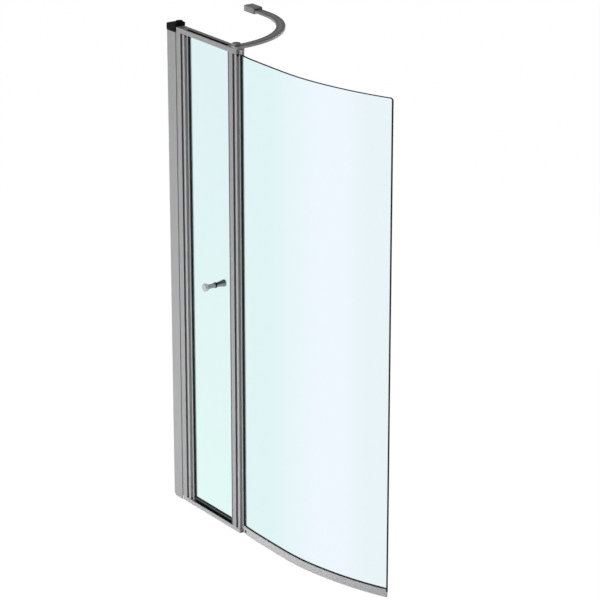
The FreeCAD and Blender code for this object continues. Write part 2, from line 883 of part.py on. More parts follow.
def gasket(label, axis, bottom, height, glass_space):
    """Glazing strips: tongues in the leg's slot and rounded lips outside, cut to the glass."""
    body = new_body(f"{label}_block", x=axis, z=bottom)
    tongue_half = slot_half - s.piece_clearance
    tongue_start = leg_end - s.gasket_bite
    lip_half = slot_half + s.gasket_stand
    lip_end = leg_end + s.gasket_reach
    section = new_sketch(body, "XY_Plane")
    outline(section, [
        (tongue_start, -tongue_half), (leg_end, -tongue_half), (leg_end, -lip_half),
        (lip_end, -lip_half), (lip_end, lip_half), (leg_end, lip_half),
        (leg_end, tongue_half), (tongue_start, tongue_half),
    ])
    pad(body, section, height)
    outer = lip_end.value
    round_edges(body, s.gasket_round, lambda edge: is_upright(edge)
                and abs(edge.BoundBox.XMin - outer) < 1e-3)
    return joined("Cut", label, body, glass_space)


door_glass_start = door_axis + leg_end - s.glass_bite
door_glass_end = post_left - s.door_edge_gap
door_glass_top = rail_bottom - s.door_glass_top_gap
door_glass_height = door_glass_top - s.door_glass_lift
knob_x = door_axis + s.knob_offset


def door_glass():
    """The flat door pane, with rounded free corners and a hole for the knob's stud."""
    body = new_body("door_glass", x=door_glass_start, z=s.door_glass_lift)
    length = door_glass_end - door_glass_start
    pane = new_sketch(body, "XZ_Plane")
    rectangle(pane, 0, 0, length, door_glass_height)
    sheet_of_glass = pad(body, pane, s.glass_thickness)
    sheet_of_glass.Midplane = True
    hole = new_sketch(body, "XZ_Plane")
    ring(hole, knob_x - door_glass_start, s.knob_height - s.door_glass_lift, s.knob_hole_radius)
    cut(body, hole)
    end = length.value
    round_edges(body, s.door_corner_round, lambda edge: edge.BoundBox.XLength < 1e-3
                and edge.BoundBox.ZLength < 1e-3 and abs(edge.BoundBox.XMin - end) < 1e-3)
    return body


def door_gasket():
    """The strips that hold the door's pane."""
    space = doc.addObject("Part::Box", "DoorGlassSpace")
    thickness = s.glass_thickness + s.glass_fit * 2
    space.setExpression("Length", (door_glass_end - door_glass_start).text)
    space.setExpression("Width", thickness.text)
    space.setExpression("Height", door_glass_height.text)
    place(space, door_glass_start, -(thickness / 2), s.door_glass_lift)
    return gasket("door_gasket", door_axis, s.door_glass_lift, door_glass_height, space)


def door_edge_seal():
    """The clear seal on the door's free edge: two legs, a web and a lip towards the strike."""
    bottom = s.door_glass_lift + s.bottom_seal_grip + s.bottom_seal_end_gap
    body = new_body("door_edge_seal", x=door_glass_end, z=bottom)
    inner = glass_half + s.glass_fit
    outer = inner + s.edge_seal_wall
    web = s.glass_fit
    web_end = web + s.edge_seal_wall
    tip = s.door_edge_gap - s.edge_seal_tip_gap
    lip_front = s.strike_setback + s.strike_thickness + s.strike_gap - half_depth
    lip_back = lip_front + s.edge_seal_lip
    leg = -s.edge_seal_leg
    section = new_sketch(body, "XY_Plane")
    outline(section, [
        (leg, -outer), (web, -outer), (tip - s.edge_seal_lip, lip_front), (tip, lip_front),
        (tip, lip_back), (web_end, -inner), (web_end, outer), (leg, outer), (leg, inner),
        (web, inner), (web, -inner), (leg, -inner),
    ])
    pad(body, section, door_glass_top - bottom)
    return body


def door_bottom_seal():
    """The black seal under the door: a clip on the pane and two fins over the sill's floor."""
    start = door_axis + leg_end + s.gasket_reach + s.bottom_seal_end_gap
    end = post_left - s.bottom_seal_end_gap
    body = new_body("door_bottom_seal", x=start)
    half = s.bottom_seal_width / 2
    inner = glass_half + s.glass_fit
    grip_floor = s.door_glass_lift
    grip_top = grip_floor + s.bottom_seal_grip
    web_floor = grip_floor - s.bottom_seal_web
    fin_bottom = s.sill_floor + s.bottom_seal_floor_gap
    fin_half = half - s.bottom_seal_fin
    section = new_sketch(body, "YZ_Plane")
    outline(section, [
        (-half, fin_bottom), (-fin_half, fin_bottom), (-fin_half, web_floor),
        (fin_half, web_floor), (fin_half, fin_bottom), (half, fin_bottom), (half, grip_top),
        (inner, grip_top), (inner, grip_floor), (-inner, grip_floor), (-inner, grip_top),
        (-half, grip_top),
    ])
    pad(body, section, end - start)
    return body


def flared(neck, rim, start, end):
    """Give the middle and the centre x of an arc that leaves a neck straight and ends at a rim."""
    spread = rim - neck
    rise = end - start
    radius = (product(spread, spread) + product(rise, rise)).over(spread * 2)
    half_turn = math.atan2(spread.value, rise.value)
    middle_x = neck.value + radius.value * (1 - math.cos(half_turn))
    middle_y = start.value + radius.value * math.sin(half_turn)
    return (middle_x, middle_y), neck + radius


def knob_front():
    """The room-side knob: a small base, a slim neck and a head that flares out to grip."""
    body = new_body("knob_front", knob_x, -knob_face, s.knob_height, AGAINST_Y)
    length = s.knob_length
    flare_end = length - s.knob_head_height
    flare_start = flare_end - s.knob_flare
    bore = s.stud_radius + s.pin_fit
    head = s.knob_head_radius
    neck = s.knob_neck_radius
    section = new_sketch(body, "XZ_Plane")
    outline(section, [
        (bore, 0), (s.knob_base_radius, 0), (s.knob_base_radius, s.knob_base_height),
        (neck, s.knob_base_height), (neck, flare_start), (head, flare_end),
        (head, length - s.knob_edge), (head - s.knob_edge, length), (0, length),
        (0, s.stud_depth), (bore, s.stud_depth),
    ], {4: flared(neck, head, flare_start, flare_end)})
    turn_profile(body, section)
    return body


def knob_rear():
    """The bath-side knob: a trumpet that widens all the way from the pane to its rim."""
    body = new_body("knob_rear", knob_x, knob_face, s.knob_height, ALONG_Y)
    length = s.rear_knob_length
    flare_end = length - s.rear_knob_rim_height
    bore = s.stud_radius + s.pin_fit
    base = s.rear_knob_base_radius
    rim = s.rear_knob_rim_radius
    section = new_sketch(body, "XZ_Plane")
    outline(section, [
        (bore, 0), (base, 0), (rim, flare_end), (rim, length - s.knob_edge),
        (rim - s.knob_edge, length), (0, length), (0, s.stud_depth), (bore, s.stud_depth),
    ], {1: flared(base, rim, ZERO, flare_end)})
    turn_profile(body, section)
    return body


knob_face = glass_half + s.washer_thickness


def knob_stud():
    """The threaded rod that draws both knobs together through the pane."""
    reach = knob_face + s.stud_depth - s.piece_clearance
    stud = cylinder(s.stud_radius, reach * 2, knob_x, -reach, s.knob_height, ALONG_Y)
    stud.Label = "knob_stud"
    return stud


def knob_washers():
    """Two black washers, each with a short sleeve in the pane's hole."""
    washers = []
    bore = s.stud_radius + s.piece_clearance
    sleeve = s.knob_hole_radius - s.piece_clearance
    for face, turn in ((-glass_half, AGAINST_Y), (glass_half, ALONG_Y)):
        body = new_body("Washer", knob_x, face, s.knob_height, turn)
        section = new_sketch(body, "XZ_Plane")
        outline(section, [
            (bore, -s.washer_sleeve), (sleeve, -s.washer_sleeve), (sleeve, 0),
            (s.washer_radius, 0), (s.washer_radius, s.washer_thickness),
            (bore, s.washer_thickness),
        ])
        turn_profile(body, section)
        washers.append(body)
    return group("knob_washers", washers)


# The curved panel turns about one upright axis, its bend centre
bend_x = panel_axis + s.bend_offset + product(s.bend_radius, sine(s.bend_heading))
bend_y = product(s.bend_radius, cosine(s.bend_heading))
bend_start = as_size(270) - s.bend_heading
glass_lead = ratio_degrees(s.bend_offset - leg_end + s.glass_bite, s.bend_radius)
panel_sweep = ratio_degrees(s.panel_arc, s.bend_radius)
panel_glass_top = rail_bottom - s.panel_top_gap
swing_clear = root_of_squares(s.hinge_side, half_depth) - s.bend_offset + s.panel_rail_clearance
rail_lead = ratio_degrees(swing_clear, s.bend_radius)


def bent(label, corners, start, sweep):
    """Carry an upright section round the panel's bend, from a start angle through a sweep."""
    turn = FreeCAD.Rotation(UP, start.value)
    body = new_body(label, bend_x, bend_y, turn=turn)
    body.setExpression("Placement.Rotation.Angle", start.text)
    section = new_sketch(body, "XZ_Plane")
    outline(section, corners)
    turn_profile(body, section, sweep)
    return body


def glass_section(half, bottom, top):
    """The section of the bent pane, half a thickness either side of the bend."""
    inner = s.bend_radius - half
    outer = s.bend_radius + half
    return [(inner, bottom), (outer, bottom), (outer, top), (inner, top)]


def panel_glass():
    """The bent pane, rounded at its free top corner."""
    section = glass_section(glass_half, s.panel_glass_lift, panel_glass_top)
    body = bent("panel_glass", section, bend_start - glass_lead, panel_sweep + glass_lead)
    doc.recompute()
    upper = panel_glass_top.value
    placement = body.Placement.inverse()
    far = FreeCAD.Vector(rail_end.value + s.panel_arc.value, 0, upper)
    local = placement.multVec(far)
    corner_edges = [
        edge for edge in body.Tip.Shape.Edges
        if is_level(edge, panel_glass_top) and edge.Length < s.glass_thickness.value * 1.5
    ]
    nearest = min(corner_edges, key=lambda edge: edge.CenterOfMass.distanceToPoint(local))
    round_edges(body, s.panel_corner_round, lambda edge: edge.isSame(nearest))
    return body


def panel_gasket():
    """The strips that hold the bent pane in its hinge."""
    bottom = s.panel_rail_lift + s.panel_rail_height + s.panel_gasket_gap
    section = glass_section(glass_half + s.glass_fit, s.panel_glass_lift, panel_glass_top)
    space = bent("PanelGlassSpace", section, bend_start - glass_lead, panel_sweep)
    height = panel_glass_top - bottom - s.hinge_clearance
    return gasket("panel_gasket", panel_axis, bottom, height, space)


def panel_bottom_rail():
    """The drip rail along the pane's lower edge: a channel for the pane and a groove below."""
    half = s.panel_rail_thickness / 2
    slot = glass_half + s.glass_fit
    groove = s.drip_thickness / 2 + s.drip_fit
    bottom = s.panel_rail_lift
    top = bottom + s.panel_rail_height
    mid = s.bend_radius
    roof = bottom + s.drip_seat + s.drip_fit
    section = [
        (mid - half, bottom), (mid - groove, bottom), (mid - groove, roof), (mid + groove, roof),
        (mid + groove, bottom), (mid + half, bottom), (mid + half, top), (mid + slot, top),
        (mid + slot, s.panel_glass_lift), (mid - slot, s.panel_glass_lift), (mid - slot, top),
        (mid - half, top),
    ]
    channel = bent("PanelRailChannel", section, bend_start + rail_lead, panel_sweep - rail_lead)
    hole = cylinder(s.rail_screw_radius + s.piece_clearance, s.rail_screw_length + s.drip_fit,
                    rail_screw_x, rail_screw_y, s.rail_screw_height, rail_screw_turn)
    recess = cylinder(s.rail_screw_head_radius + s.piece_clearance,
                      s.rail_screw_head_height + s.drip_fit,
                      rail_screw_x, rail_screw_y, s.rail_screw_height, rail_screw_turn)
    return joined("Cut", "panel_bottom_rail", joined("Cut", "RailRecess", channel, recess), hole)


def panel_drip_seal():
    """The soft strip in the rail's groove, which hangs to the bath's rim."""
    half = s.drip_thickness / 2
    bottom = s.panel_rail_lift - s.drip_drop
    top = s.panel_rail_lift + s.drip_seat
    mid = s.bend_radius
    section = [(mid - half, bottom), (mid + half, bottom), (mid + half, top), (mid - half, top)]
    return bent("panel_drip_seal", section, bend_start + rail_lead, panel_sweep - rail_lead)


# The screw at the drip rail's hinge end stands square to the bent front face
rail_screw_angle = bend_start + ratio_degrees(swing_clear + s.rail_screw_inset, s.bend_radius)
rail_screw_radius_out = s.bend_radius + s.panel_rail_thickness / 2
rail_screw_x = bend_x + product(rail_screw_radius_out, cosine(rail_screw_angle))
rail_screw_y = bend_y + product(rail_screw_radius_out, sine(rail_screw_angle))
rail_screw_turn = FreeCAD.Rotation(UP, rail_screw_angle.value).multiply(AGAINST_X)


def panel_rail_screw():
    """The small screw that pins the drip rail on the pane, its head flush with the rail."""
    head = cylinder(s.rail_screw_head_radius, s.rail_screw_head_height,
                    rail_screw_x, rail_screw_y, s.rail_screw_height, rail_screw_turn)
    shank = cylinder(s.rail_screw_radius, s.rail_screw_length,
                     rail_screw_x, rail_screw_y, s.rail_screw_height, rail_screw_turn)
    return joined("Fuse", "panel_rail_screw", head, shank)


# The brace lies on the frame's top and bends a quarter turn to the wall
arm_half = s.arm_width / 2
arm_line = rail_end - arm_half + s.arm_overhang
arm_centre_x = arm_line - s.arm_radius
arm_centre_y = s.arm_lead - half_depth
arm_wall_y = arm_centre_y + s.arm_radius
arm_top = s.frame_height + s.arm_thickness
arm_screw_x = arm_line - s.arm_screw_offset
arm_screw_y = s.arm_screw_setback - half_depth
end_screw_y = (s.end_bracket_back - s.end_bracket_front) / 2


def arm_section(sketch, side):
    """The flat bar's section with two fine lines along its top, on the bend's radius."""
    inner = (s.arm_radius - arm_half) * side
    outer = (s.arm_radius + arm_half) * side
    line_half = s.arm_line_width / 2
    top = s.arm_thickness
    floor = top - s.arm_line_depth
    corners = [(inner, 0), (outer, 0), (outer, top)]
    for offset in (s.arm_line_offset, -s.arm_line_offset):
        far = (s.arm_radius + offset + line_half) * side
        near = (s.arm_radius + offset - line_half) * side
        corners += [(far, top), (far, floor), (near, floor), (near, top)]
    outline(sketch, corners + [(inner, top)])


def brace_arm():
    """The arm: straight over the post, a quarter bend, and straight into the wall bracket."""
    body = new_body("brace_arm", arm_centre_x, arm_centre_y, s.frame_height)
    section = new_sketch(body, "XZ_Plane")
    arm_section(section, 1)
    turn_profile(body, section, as_size(90))
    lead = new_sketch(body, "XZ_Plane")
    arm_section(lead, 1)
    pad(body, lead, s.arm_lead)
    tail = new_sketch(body, "YZ_Plane")
    arm_section(tail, 1)
    pad(body, tail, arm_centre_x - s.arm_wall_gap, reverse=True)
    hole = new_sketch(body, "XY_Plane", s.arm_thickness)
    ring(hole, arm_screw_x - arm_centre_x, arm_screw_y - arm_centre_y,
         s.arm_screw_radius + s.piece_clearance)
    cut(body, hole, s.arm_thickness)
    return body


def brace_arm_screw():
    """The screw that holds the arm's end on the post's corner block."""
    sizes = (s.arm_screw_head_radius, s.arm_screw_head_height, s.arm_screw_radius,
             s.arm_screw_length)
    return turned_screw("brace_arm_screw", sizes, arm_screw_x, arm_screw_y, arm_top)


def brace_screw_cap():
    """The round cover over the arm's screw."""
    body = new_body("brace_screw_cap", arm_screw_x, arm_screw_y, arm_top)
    bore = s.arm_screw_head_radius + s.piece_clearance
    roof = s.arm_screw_head_height + s.piece_clearance
    rim = s.screw_cap_radius
    top = s.screw_cap_height
    section = new_sketch(body, "XZ_Plane")
    outline(section, [
        (bore, 0), (rim, 0), (rim, top - s.screw_cap_round), (rim - s.screw_cap_round, top), (0, top),
        (0, roof), (bore, roof),
    ])
    turn_profile(body, section)
    return body


end_bracket_bottom = rail_bottom + s.end_bracket_gap


def brace_end_bracket():
    """The upright block on the rail's end, under the arm and clear above the swinging pane."""
    body = new_body("brace_end_bracket", x=rail_end, z=end_bracket_bottom)
    block = new_sketch(body, "XY_Plane")
    rectangle(block, 0, -s.end_bracket_front, s.end_bracket_reach, s.end_bracket_back)
    pad(body, block, s.frame_height - s.piece_clearance - end_bracket_bottom)
    outer = s.end_bracket_reach.value
    round_edges(body, s.end_bracket_round, lambda edge: is_upright(edge)
                and abs(edge.BoundBox.XMin - outer) < 1e-3)
    hole = new_sketch(body, "YZ_Plane")
    ring(hole, end_screw_y, end_screw_z - end_bracket_bottom,
         s.end_screw_radius + s.piece_clearance)
    cut(body, hole)
    head = new_sketch(body, "YZ_Plane", s.end_bracket_reach)
    ring(head, end_screw_y, end_screw_z - end_bracket_bottom,
         s.end_screw_head_radius + s.piece_clearance)
    cut(body, head, s.end_screw_head_height)
    return body


end_screw_z = s.frame_height - s.end_screw_drop


def end_bracket_screw():
    """The screw that holds the upright block on the rail's end."""
    shank = s.end_screw_length - s.end_screw_head_height
    sizes = (s.end_screw_head_radius, s.end_screw_head_height, s.end_screw_radius, shank)
    seat = rail_end + s.end_bracket_reach - s.end_screw_head_height
    return turned_screw("end_bracket_screw", sizes, seat, end_screw_y, end_screw_z, ALONG_X)


socket_half = arm_half + s.liner_side + s.piece_clearance
socket_floor = s.frame_height - s.liner_under - s.piece_clearance
socket_roof = arm_top + s.liner_over + s.piece_clearance
bracket_half = socket_half + s.bracket_wall
bracket_floor = socket_floor - s.bracket_wall
bracket_roof = socket_roof + s.bracket_roof_wall
socket_height = socket_roof - socket_floor


def brace_wall_bracket():
    """The wall bracket: a rounded block with a socket for the arm and a hole to the wall."""
    body = new_body("brace_wall_bracket", y=arm_wall_y, z=bracket_floor)
    height = bracket_roof - bracket_floor
    block = new_sketch(body, "YZ_Plane")
    rectangle(block, -bracket_half, 0, bracket_half, height)
    pad(body, block, s.bracket_reach)
    far = s.bracket_reach.value
    round_edges(body, s.bracket_round, lambda edge: is_upright(edge)
                and abs(edge.BoundBox.XMin - far) < 1e-3)
    round_edges(body, s.bracket_top_round, lambda edge: is_level(edge, height)
                and edge.BoundBox.XMax > 1e-3)
    socket = new_sketch(body, "YZ_Plane", s.bracket_reach)
    rectangle(socket, -socket_half, s.bracket_wall, socket_half, s.bracket_wall + socket_height)
    cut(body, socket, s.bracket_reach - s.bracket_base)
    hole = new_sketch(body, "YZ_Plane", s.bracket_base)
    ring(hole, 0, height / 2, s.bracket_hole_radius)
    cut(body, hole, s.bracket_base)
    grub = new_sketch(body, "XY_Plane", s.bracket_wall)
    ring(grub, s.bracket_reach - s.grub_setback, 0, s.grub_radius + s.piece_clearance)
    cut(body, grub, s.bracket_wall)
    return body


def brace_socket_liner():
    """The black sleeve between the arm and its socket."""
    body = new_body("brace_socket_liner", x=s.bracket_base, y=arm_wall_y, z=socket_floor)
    clear = s.piece_clearance
    outer = socket_half - clear
    inner = arm_half + clear / 2
    section = new_sketch(body, "YZ_Plane")
    rectangle(section, -outer, clear, outer, socket_height - clear)
    rectangle(section, -inner, s.liner_under, inner, s.liner_under + clear * 2 + s.arm_thickness)
    pad(body, section, s.bracket_reach - s.bracket_base)
    grub = new_sketch(body, "XY_Plane", s.liner_under)
    ring(grub, s.bracket_reach - s.grub_setback - s.bracket_base, 0, s.grub_radius + clear)
    cut(body, grub, s.liner_under)
    return body


def brace_grub_screw():
    """The grub screw under the bracket that grips the arm."""
    length = s.bracket_wall + s.liner_under
    grub = cylinder(s.grub_radius, length, s.bracket_reach - s.grub_setback, arm_wall_y,
                    bracket_floor)
    grub.Label = "brace_grub_screw"
    return grub


def build():
    """Make every sub-part."""
    pieces = [
        wall_profile(), wall_profile_cap(), hinge_stile(), adjustment_screws(), lock_stile(),
        top_rail(), hinge_corner_block(), post_corner_block(), sill(), hinge_foot(), post_foot(),
        corner_screws(), wiper("hinge_wiper", stile_face), wiper("post_wiper", post_right),
        strike_seal(), brace_arm(), brace_arm_screw(), brace_screw_cap(), brace_end_bracket(),
        end_bracket_screw(), brace_wall_bracket(), brace_socket_liner(), brace_grub_screw(),
        hinge_profile("door_hinge_profile", door_axis), door_gasket(), door_glass(),
        door_edge_seal(), door_bottom_seal(), knob_stud(), knob_washers(),
        knob_front(), knob_rear(),
        hinge_profile("panel_hinge_profile", panel_axis), panel_gasket(), panel_glass(),
        panel_bottom_rail(), panel_drip_seal(), panel_rail_screw(),
    ]
    pieces += pivot_pins()
    pieces += bearings("door", door_axis)
    pieces += bearings("panel", panel_axis)
    return pieces


def check_and_write(pieces):
    """Check every object of the document, then write each sub-part to its file."""
    doc.recompute()
    for item in doc.Objects:
        if "Invalid" in item.State or "Error" in item.State:
            raise RuntimeError(f"{item.Label} failed: {item.State}")
    for piece in pieces:
        if piece.Shape.isNull() or not piece.Shape.isValid():
            raise RuntimeError(f"{piece.Label} has no valid shape")
    os.makedirs("parts", exist_ok=True)
    for piece in pieces:
        piece.Shape.exportStep(f"parts/{piece.Label}.step")
        print(f"{piece.Label}: {len(piece.Shape.Solids)} solid, {piece.Shape.Volume:.0f} mm3")


check_and_write(build())
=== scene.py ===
# %% [markdown]
# # A bath screen with an access door
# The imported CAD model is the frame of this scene: every bar, seal and screw already stands in
# its place. This lesson dresses it. The curved pane, the drip rail with its bead and strip, the
# brace arm, the knobs with their washers, the screw cap and the screws get surfaces of their own,
# because real ones have eased edges, grooves and sockets that a plain solid lacks. Every other
# piece keeps its CAD mesh and gets a finish made of nodes.

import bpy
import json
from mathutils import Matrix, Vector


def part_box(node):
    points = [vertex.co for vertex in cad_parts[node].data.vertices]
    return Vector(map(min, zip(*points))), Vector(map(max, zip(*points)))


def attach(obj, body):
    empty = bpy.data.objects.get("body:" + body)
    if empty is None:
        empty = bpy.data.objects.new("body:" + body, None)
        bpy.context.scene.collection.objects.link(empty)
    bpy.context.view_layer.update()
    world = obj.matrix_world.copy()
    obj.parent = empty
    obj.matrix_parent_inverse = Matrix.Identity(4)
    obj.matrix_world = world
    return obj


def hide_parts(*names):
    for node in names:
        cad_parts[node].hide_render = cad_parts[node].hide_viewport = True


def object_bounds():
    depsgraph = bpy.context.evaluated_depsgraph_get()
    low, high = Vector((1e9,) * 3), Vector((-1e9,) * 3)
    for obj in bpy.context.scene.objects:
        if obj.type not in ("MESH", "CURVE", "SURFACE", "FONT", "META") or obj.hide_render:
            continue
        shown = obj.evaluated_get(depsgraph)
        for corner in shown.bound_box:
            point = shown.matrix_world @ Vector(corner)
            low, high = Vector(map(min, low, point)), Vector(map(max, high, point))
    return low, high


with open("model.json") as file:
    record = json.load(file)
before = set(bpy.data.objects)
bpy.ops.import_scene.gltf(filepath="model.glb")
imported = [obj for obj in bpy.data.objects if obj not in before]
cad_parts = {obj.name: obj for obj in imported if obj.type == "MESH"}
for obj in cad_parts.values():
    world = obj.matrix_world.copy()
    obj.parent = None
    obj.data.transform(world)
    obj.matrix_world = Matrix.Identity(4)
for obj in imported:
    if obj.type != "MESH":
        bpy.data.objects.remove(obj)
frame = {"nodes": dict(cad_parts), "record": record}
CAD_BOX = [list(corner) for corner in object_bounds()]
print("CAD box in metres:", CAD_BOX)

# %% [markdown]
# ## Boxes of the CAD nodes
# A new piece has to sit where its CAD solid does, so it reads the solid's box from the frame.
# Blender works in metres, but hardware is sized in millimetres, and so are these boxes.

# %% Boxes in millimetres
import json
import math

import bmesh
import bpy
import numpy as np
from mathutils import Matrix, Vector

NODES = frame["nodes"]
MM = 0.001


def box_mm(node):
    """Lowest and highest corner of a CAD node, in millimetres."""
    low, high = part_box(node)
    return np.array(low) / MM, np.array(high) / MM


def middle_mm(node):
    """Centre of a CAD node's box, in millimetres."""
    low, high = box_mm(node)
    return (low + high) / 2


print(len(NODES), "CAD nodes to dress")

# %% [markdown]
# ## Camera
# The view was found from the straight edges of the screen: a long lens, a little above the top
# rail, looking at the corner between the door and the curved panel. A long lens keeps the
# uprights almost parallel, so the camera stands eight metres away.

# %% Place the camera
AZIMUTH = math.radians(54.187)
ELEVATION = math.radians(20.422)
DISTANCE = 8.00998
LOOK_AT = Vector((0.65984, -0.014, 0.09022))
SENSOR = 36.0
FOCAL_PIXELS = 2843.355
FRAME_PIXELS = 600
SIGHT_REACH = 200

right = Vector((math.cos(AZIMUTH), math.sin(AZIMUTH), 0))
back = Vector((math.sin(AZIMUTH) * math.cos(ELEVATION),
               -math.cos(AZIMUTH) * math.cos(ELEVATION), math.sin(ELEVATION)))
up = back.cross(right)
camera_data = bpy.data.cameras.new("photo_camera")
camera_data.sensor_width = SENSOR
camera_data.lens = FOCAL_PIXELS / FRAME_PIXELS * SENSOR
camera_data.clip_end = SIGHT_REACH
camera = bpy.data.objects.new("photo_camera", camera_data)
turn = Matrix((right, up, back)).transposed().to_4x4()
camera.matrix_world = Matrix.Translation(LOOK_AT + back * DISTANCE) @ turn
bpy.context.scene.collection.objects.link(camera)
bpy.context.scene.camera = camera
bpy.context.scene.view_settings.view_transform = "Standard"
print("camera at", [round(v, 3) for v in camera.location], "lens", round(camera_data.lens, 1))

# %% [markdown]
# ## Node helpers
# A finish is a small graph of nodes, and so is the white world round the screen. These helpers
# keep the graphs short to read: one adds a node and sets its inputs, one joins two sockets, and
# the rest are the few small groups that the graphs are made of. The owner of a graph is a
# finish or the world.


# %% Nodes, links and arithmetic
def set_inputs(node, **inputs):
    """Set a node's input sockets by name, with _ for a space."""
    for name, value in inputs.items():
        node.inputs[name.replace("_", " ")].default_value = value
    return node


def add_node(owner, kind, **inputs):
    """Add a node and set its input sockets."""
    return set_inputs(owner.node_tree.nodes.new(kind), **inputs)


def join(owner, source, target):
    """Link an output socket to an input socket."""
    owner.node_tree.links.new(source, target)


def calculate(owner, operation, *values):
    """Result of one arithmetic step; each value is a socket or a plain number."""
    node = add_node(owner, "ShaderNodeMath")
    node.operation = operation
    for socket, value in zip(node.inputs, values):
        if isinstance(value, float):
            socket.default_value = value
        else:
            join(owner, value, socket)
    return node.outputs[0]


def parts_of(owner, vector):
    """X, Y and Z of a vector socket."""
    node = add_node(owner, "ShaderNodeSeparateXYZ")
    join(owner, vector, node.inputs["Vector"])
    return node.outputs


def map_range(owner, source, low, high, start=0.0, end=1.0):
    """Carry a value from start..end to low..high."""
    node = add_node(owner, "ShaderNodeMapRange", From_Min=start, From_Max=end,
                    To_Min=low, To_Max=high)
    join(owner, source, node.inputs["Value"])
    return node.outputs["Result"]


# %% [markdown]
# ## Stage and light
# The floor and the world look white to the camera, as a sweep of white paper does. In mirrors the
# world darkens overhead, like a studio whose ceiling is unlit, so that tops stay darker than
# fronts. Five soft lamps give the greys: a wide one in front for the room side, a long low one
# that lightens its foot, a small high one for the arm's wall bracket, a weak low one on the right
# for the faces that turn that way, and a large one behind for the bath side. No lamp shows in the
# glass or the metal, because mirrors see only the world.


# %% Studio world
def any_ray(owner, first, *others):
    """One for a ray of the named kinds, and zero for every other ray."""
    path = add_node(owner, "ShaderNodeLightPath")
    largest = path.outputs[first]
    for name in others:
        largest = calculate(owner, "MAXIMUM", largest, path.outputs[name])
    return largest


def mix_shaders(owner, share, first, second):
    """Mix the shaders of two nodes by a share of the second."""
    node = add_node(owner, "ShaderNodeMixShader")
    for source, socket in zip((share, first.outputs[0], second.outputs[0]), node.inputs):
        join(owner, source, socket)
    return node


WHITE = (1, 1, 1, 1)
MIRRORED_WHITE = (0.8, 0.8, 0.8, 1)
AMBIENT_COLOUR, AMBIENT = (0.97, 0.985, 1.0, 1), 0.32
CEILING = 0.22
CEILING_START, CEILING_END = 0.08, 0.5
world = bpy.data.worlds.new("studio")
bpy.context.scene.world = world
world.use_nodes = True
ambient = set_inputs(world.node_tree.nodes["Background"], Color=AMBIENT_COLOUR, Strength=AMBIENT)
seen = add_node(world, "ShaderNodeBackground", Color=WHITE)
mirrored = add_node(world, "ShaderNodeBackground", Color=MIRRORED_WHITE)
heading = add_node(world, "ShaderNodeTexCoord").outputs["Generated"]
sky = map_range(world, parts_of(world, heading)["Z"], 1.0, CEILING, CEILING_START, CEILING_END)
join(world, sky, mirrored.inputs["Strength"])
shader = mix_shaders(world, any_ray(world, "Is Glossy Ray"), ambient, mirrored)
shader = mix_shaders(world, any_ray(world, "Is Camera Ray", "Is Transmission Ray"), shader, seen)
join(world, shader.outputs[0], world.node_tree.nodes["World Output"].inputs["Surface"])
print("mirrors show", CEILING, "of the white from overhead")

# %% White floor
FLOOR_REACH = 30.0
PAPER = (0.6, 0.6, 0.6, 1)
PAPER_GLOW, GLOW_SHARE = 1.04, 0.95
floor_height = CAD_BOX[0][2]
corners = FLOOR_REACH * np.array([(-1, -1, 0), (1, -1, 0), (1, 1, 0), (-1, 1, 0)])
floor_mesh = bpy.data.meshes.new("floor")
floor_mesh.from_pydata((corners + (0, 0, floor_height)).tolist(), [], [(0, 1, 2, 3)])
floor = bpy.data.objects.new("floor", floor_mesh)
bpy.context.scene.collection.objects.link(floor)

paper = bpy.data.materials.new("white_paper")
paper.use_nodes = True
paper.node_tree.nodes.remove(paper.node_tree.nodes["Principled BSDF"])
matt = add_node(paper, "ShaderNodeBsdfDiffuse", Color=PAPER)
glow = add_node(paper, "ShaderNodeEmission", Strength=PAPER_GLOW)
plain_sight = any_ray(paper, "Is Camera Ray", "Is Transmission Ray")
glow_share = calculate(paper, "MAXIMUM", calculate(paper, "MULTIPLY", plain_sight, GLOW_SHARE),
                       any_ray(paper, "Is Glossy Ray"))
join(paper, mix_shaders(paper, glow_share, matt, glow).outputs[0],
     paper.node_tree.nodes["Material Output"].inputs["Surface"])
floor_mesh.materials.append(paper)
print("floor at", round(floor_height, 4))


# %% Lamps
def soft_lamp(name, place, aim, size, power):
    """Hang a soft lamp of a width and height at a place, and point it at an aim."""
    data = bpy.data.lights.new(name, "AREA")
    data.shape = "RECTANGLE"
    data.size, data.size_y = size
    data.energy = power
    lamp = bpy.data.objects.new(name, data)
    lamp.location = place
    lamp.rotation_mode = "QUATERNION"
    lamp.rotation_quaternion = (Vector(aim) - Vector(place)).to_track_quat("-Z", "Y")
    lamp.visible_camera = False
    lamp.visible_glossy = False
    lamp.visible_transmission = False
    bpy.context.scene.collection.objects.link(lamp)


# Each lamp's place, aim, width and height in metres, and its power in watts.
LAMPS = {
    "front_softbox": ((-0.35, -2.6, -0.5), (0.3, 0, -0.5), (1.0, 0.4), 54),
    "foot_softbox": ((0.45, -0.8, -0.68), (0.45, 0, -0.68), (1.6, 0.1), 2.0),
    "bracket_softbox": ((0.5, -2.2, 1.0), (0.1, 0.25, 0.75), (0.4, 0.2), 8),
    "side_softbox": ((1.6, 0.5, -0.62), (0.35, 0, -0.5), (0.4, 0.2), 3),
    "back_softbox": ((-0.3, 3.0, 0.3), (0.3, 0, 0), (1.2, 1.2), 60),
}
for lamp_name, setting in LAMPS.items():
    soft_lamp(lamp_name, *setting)

# %% [markdown]
# ## Patterns and places
# A finish differs from place to place. Noise gives grain and drawn lines, a box of the frame
# picks out one side of a bar, and a mark that a piece's own points carry says where its edges or
# its neck are. All of them belong to the surface, so they stay on it when a door swings.


# %% Places and patterns
def new_finish(name):
    """Start a finish, and give back its material and its main shader."""
    finish = bpy.data.materials.new(name)
    finish.use_nodes = True
    return finish, finish.node_tree.nodes["Principled BSDF"]


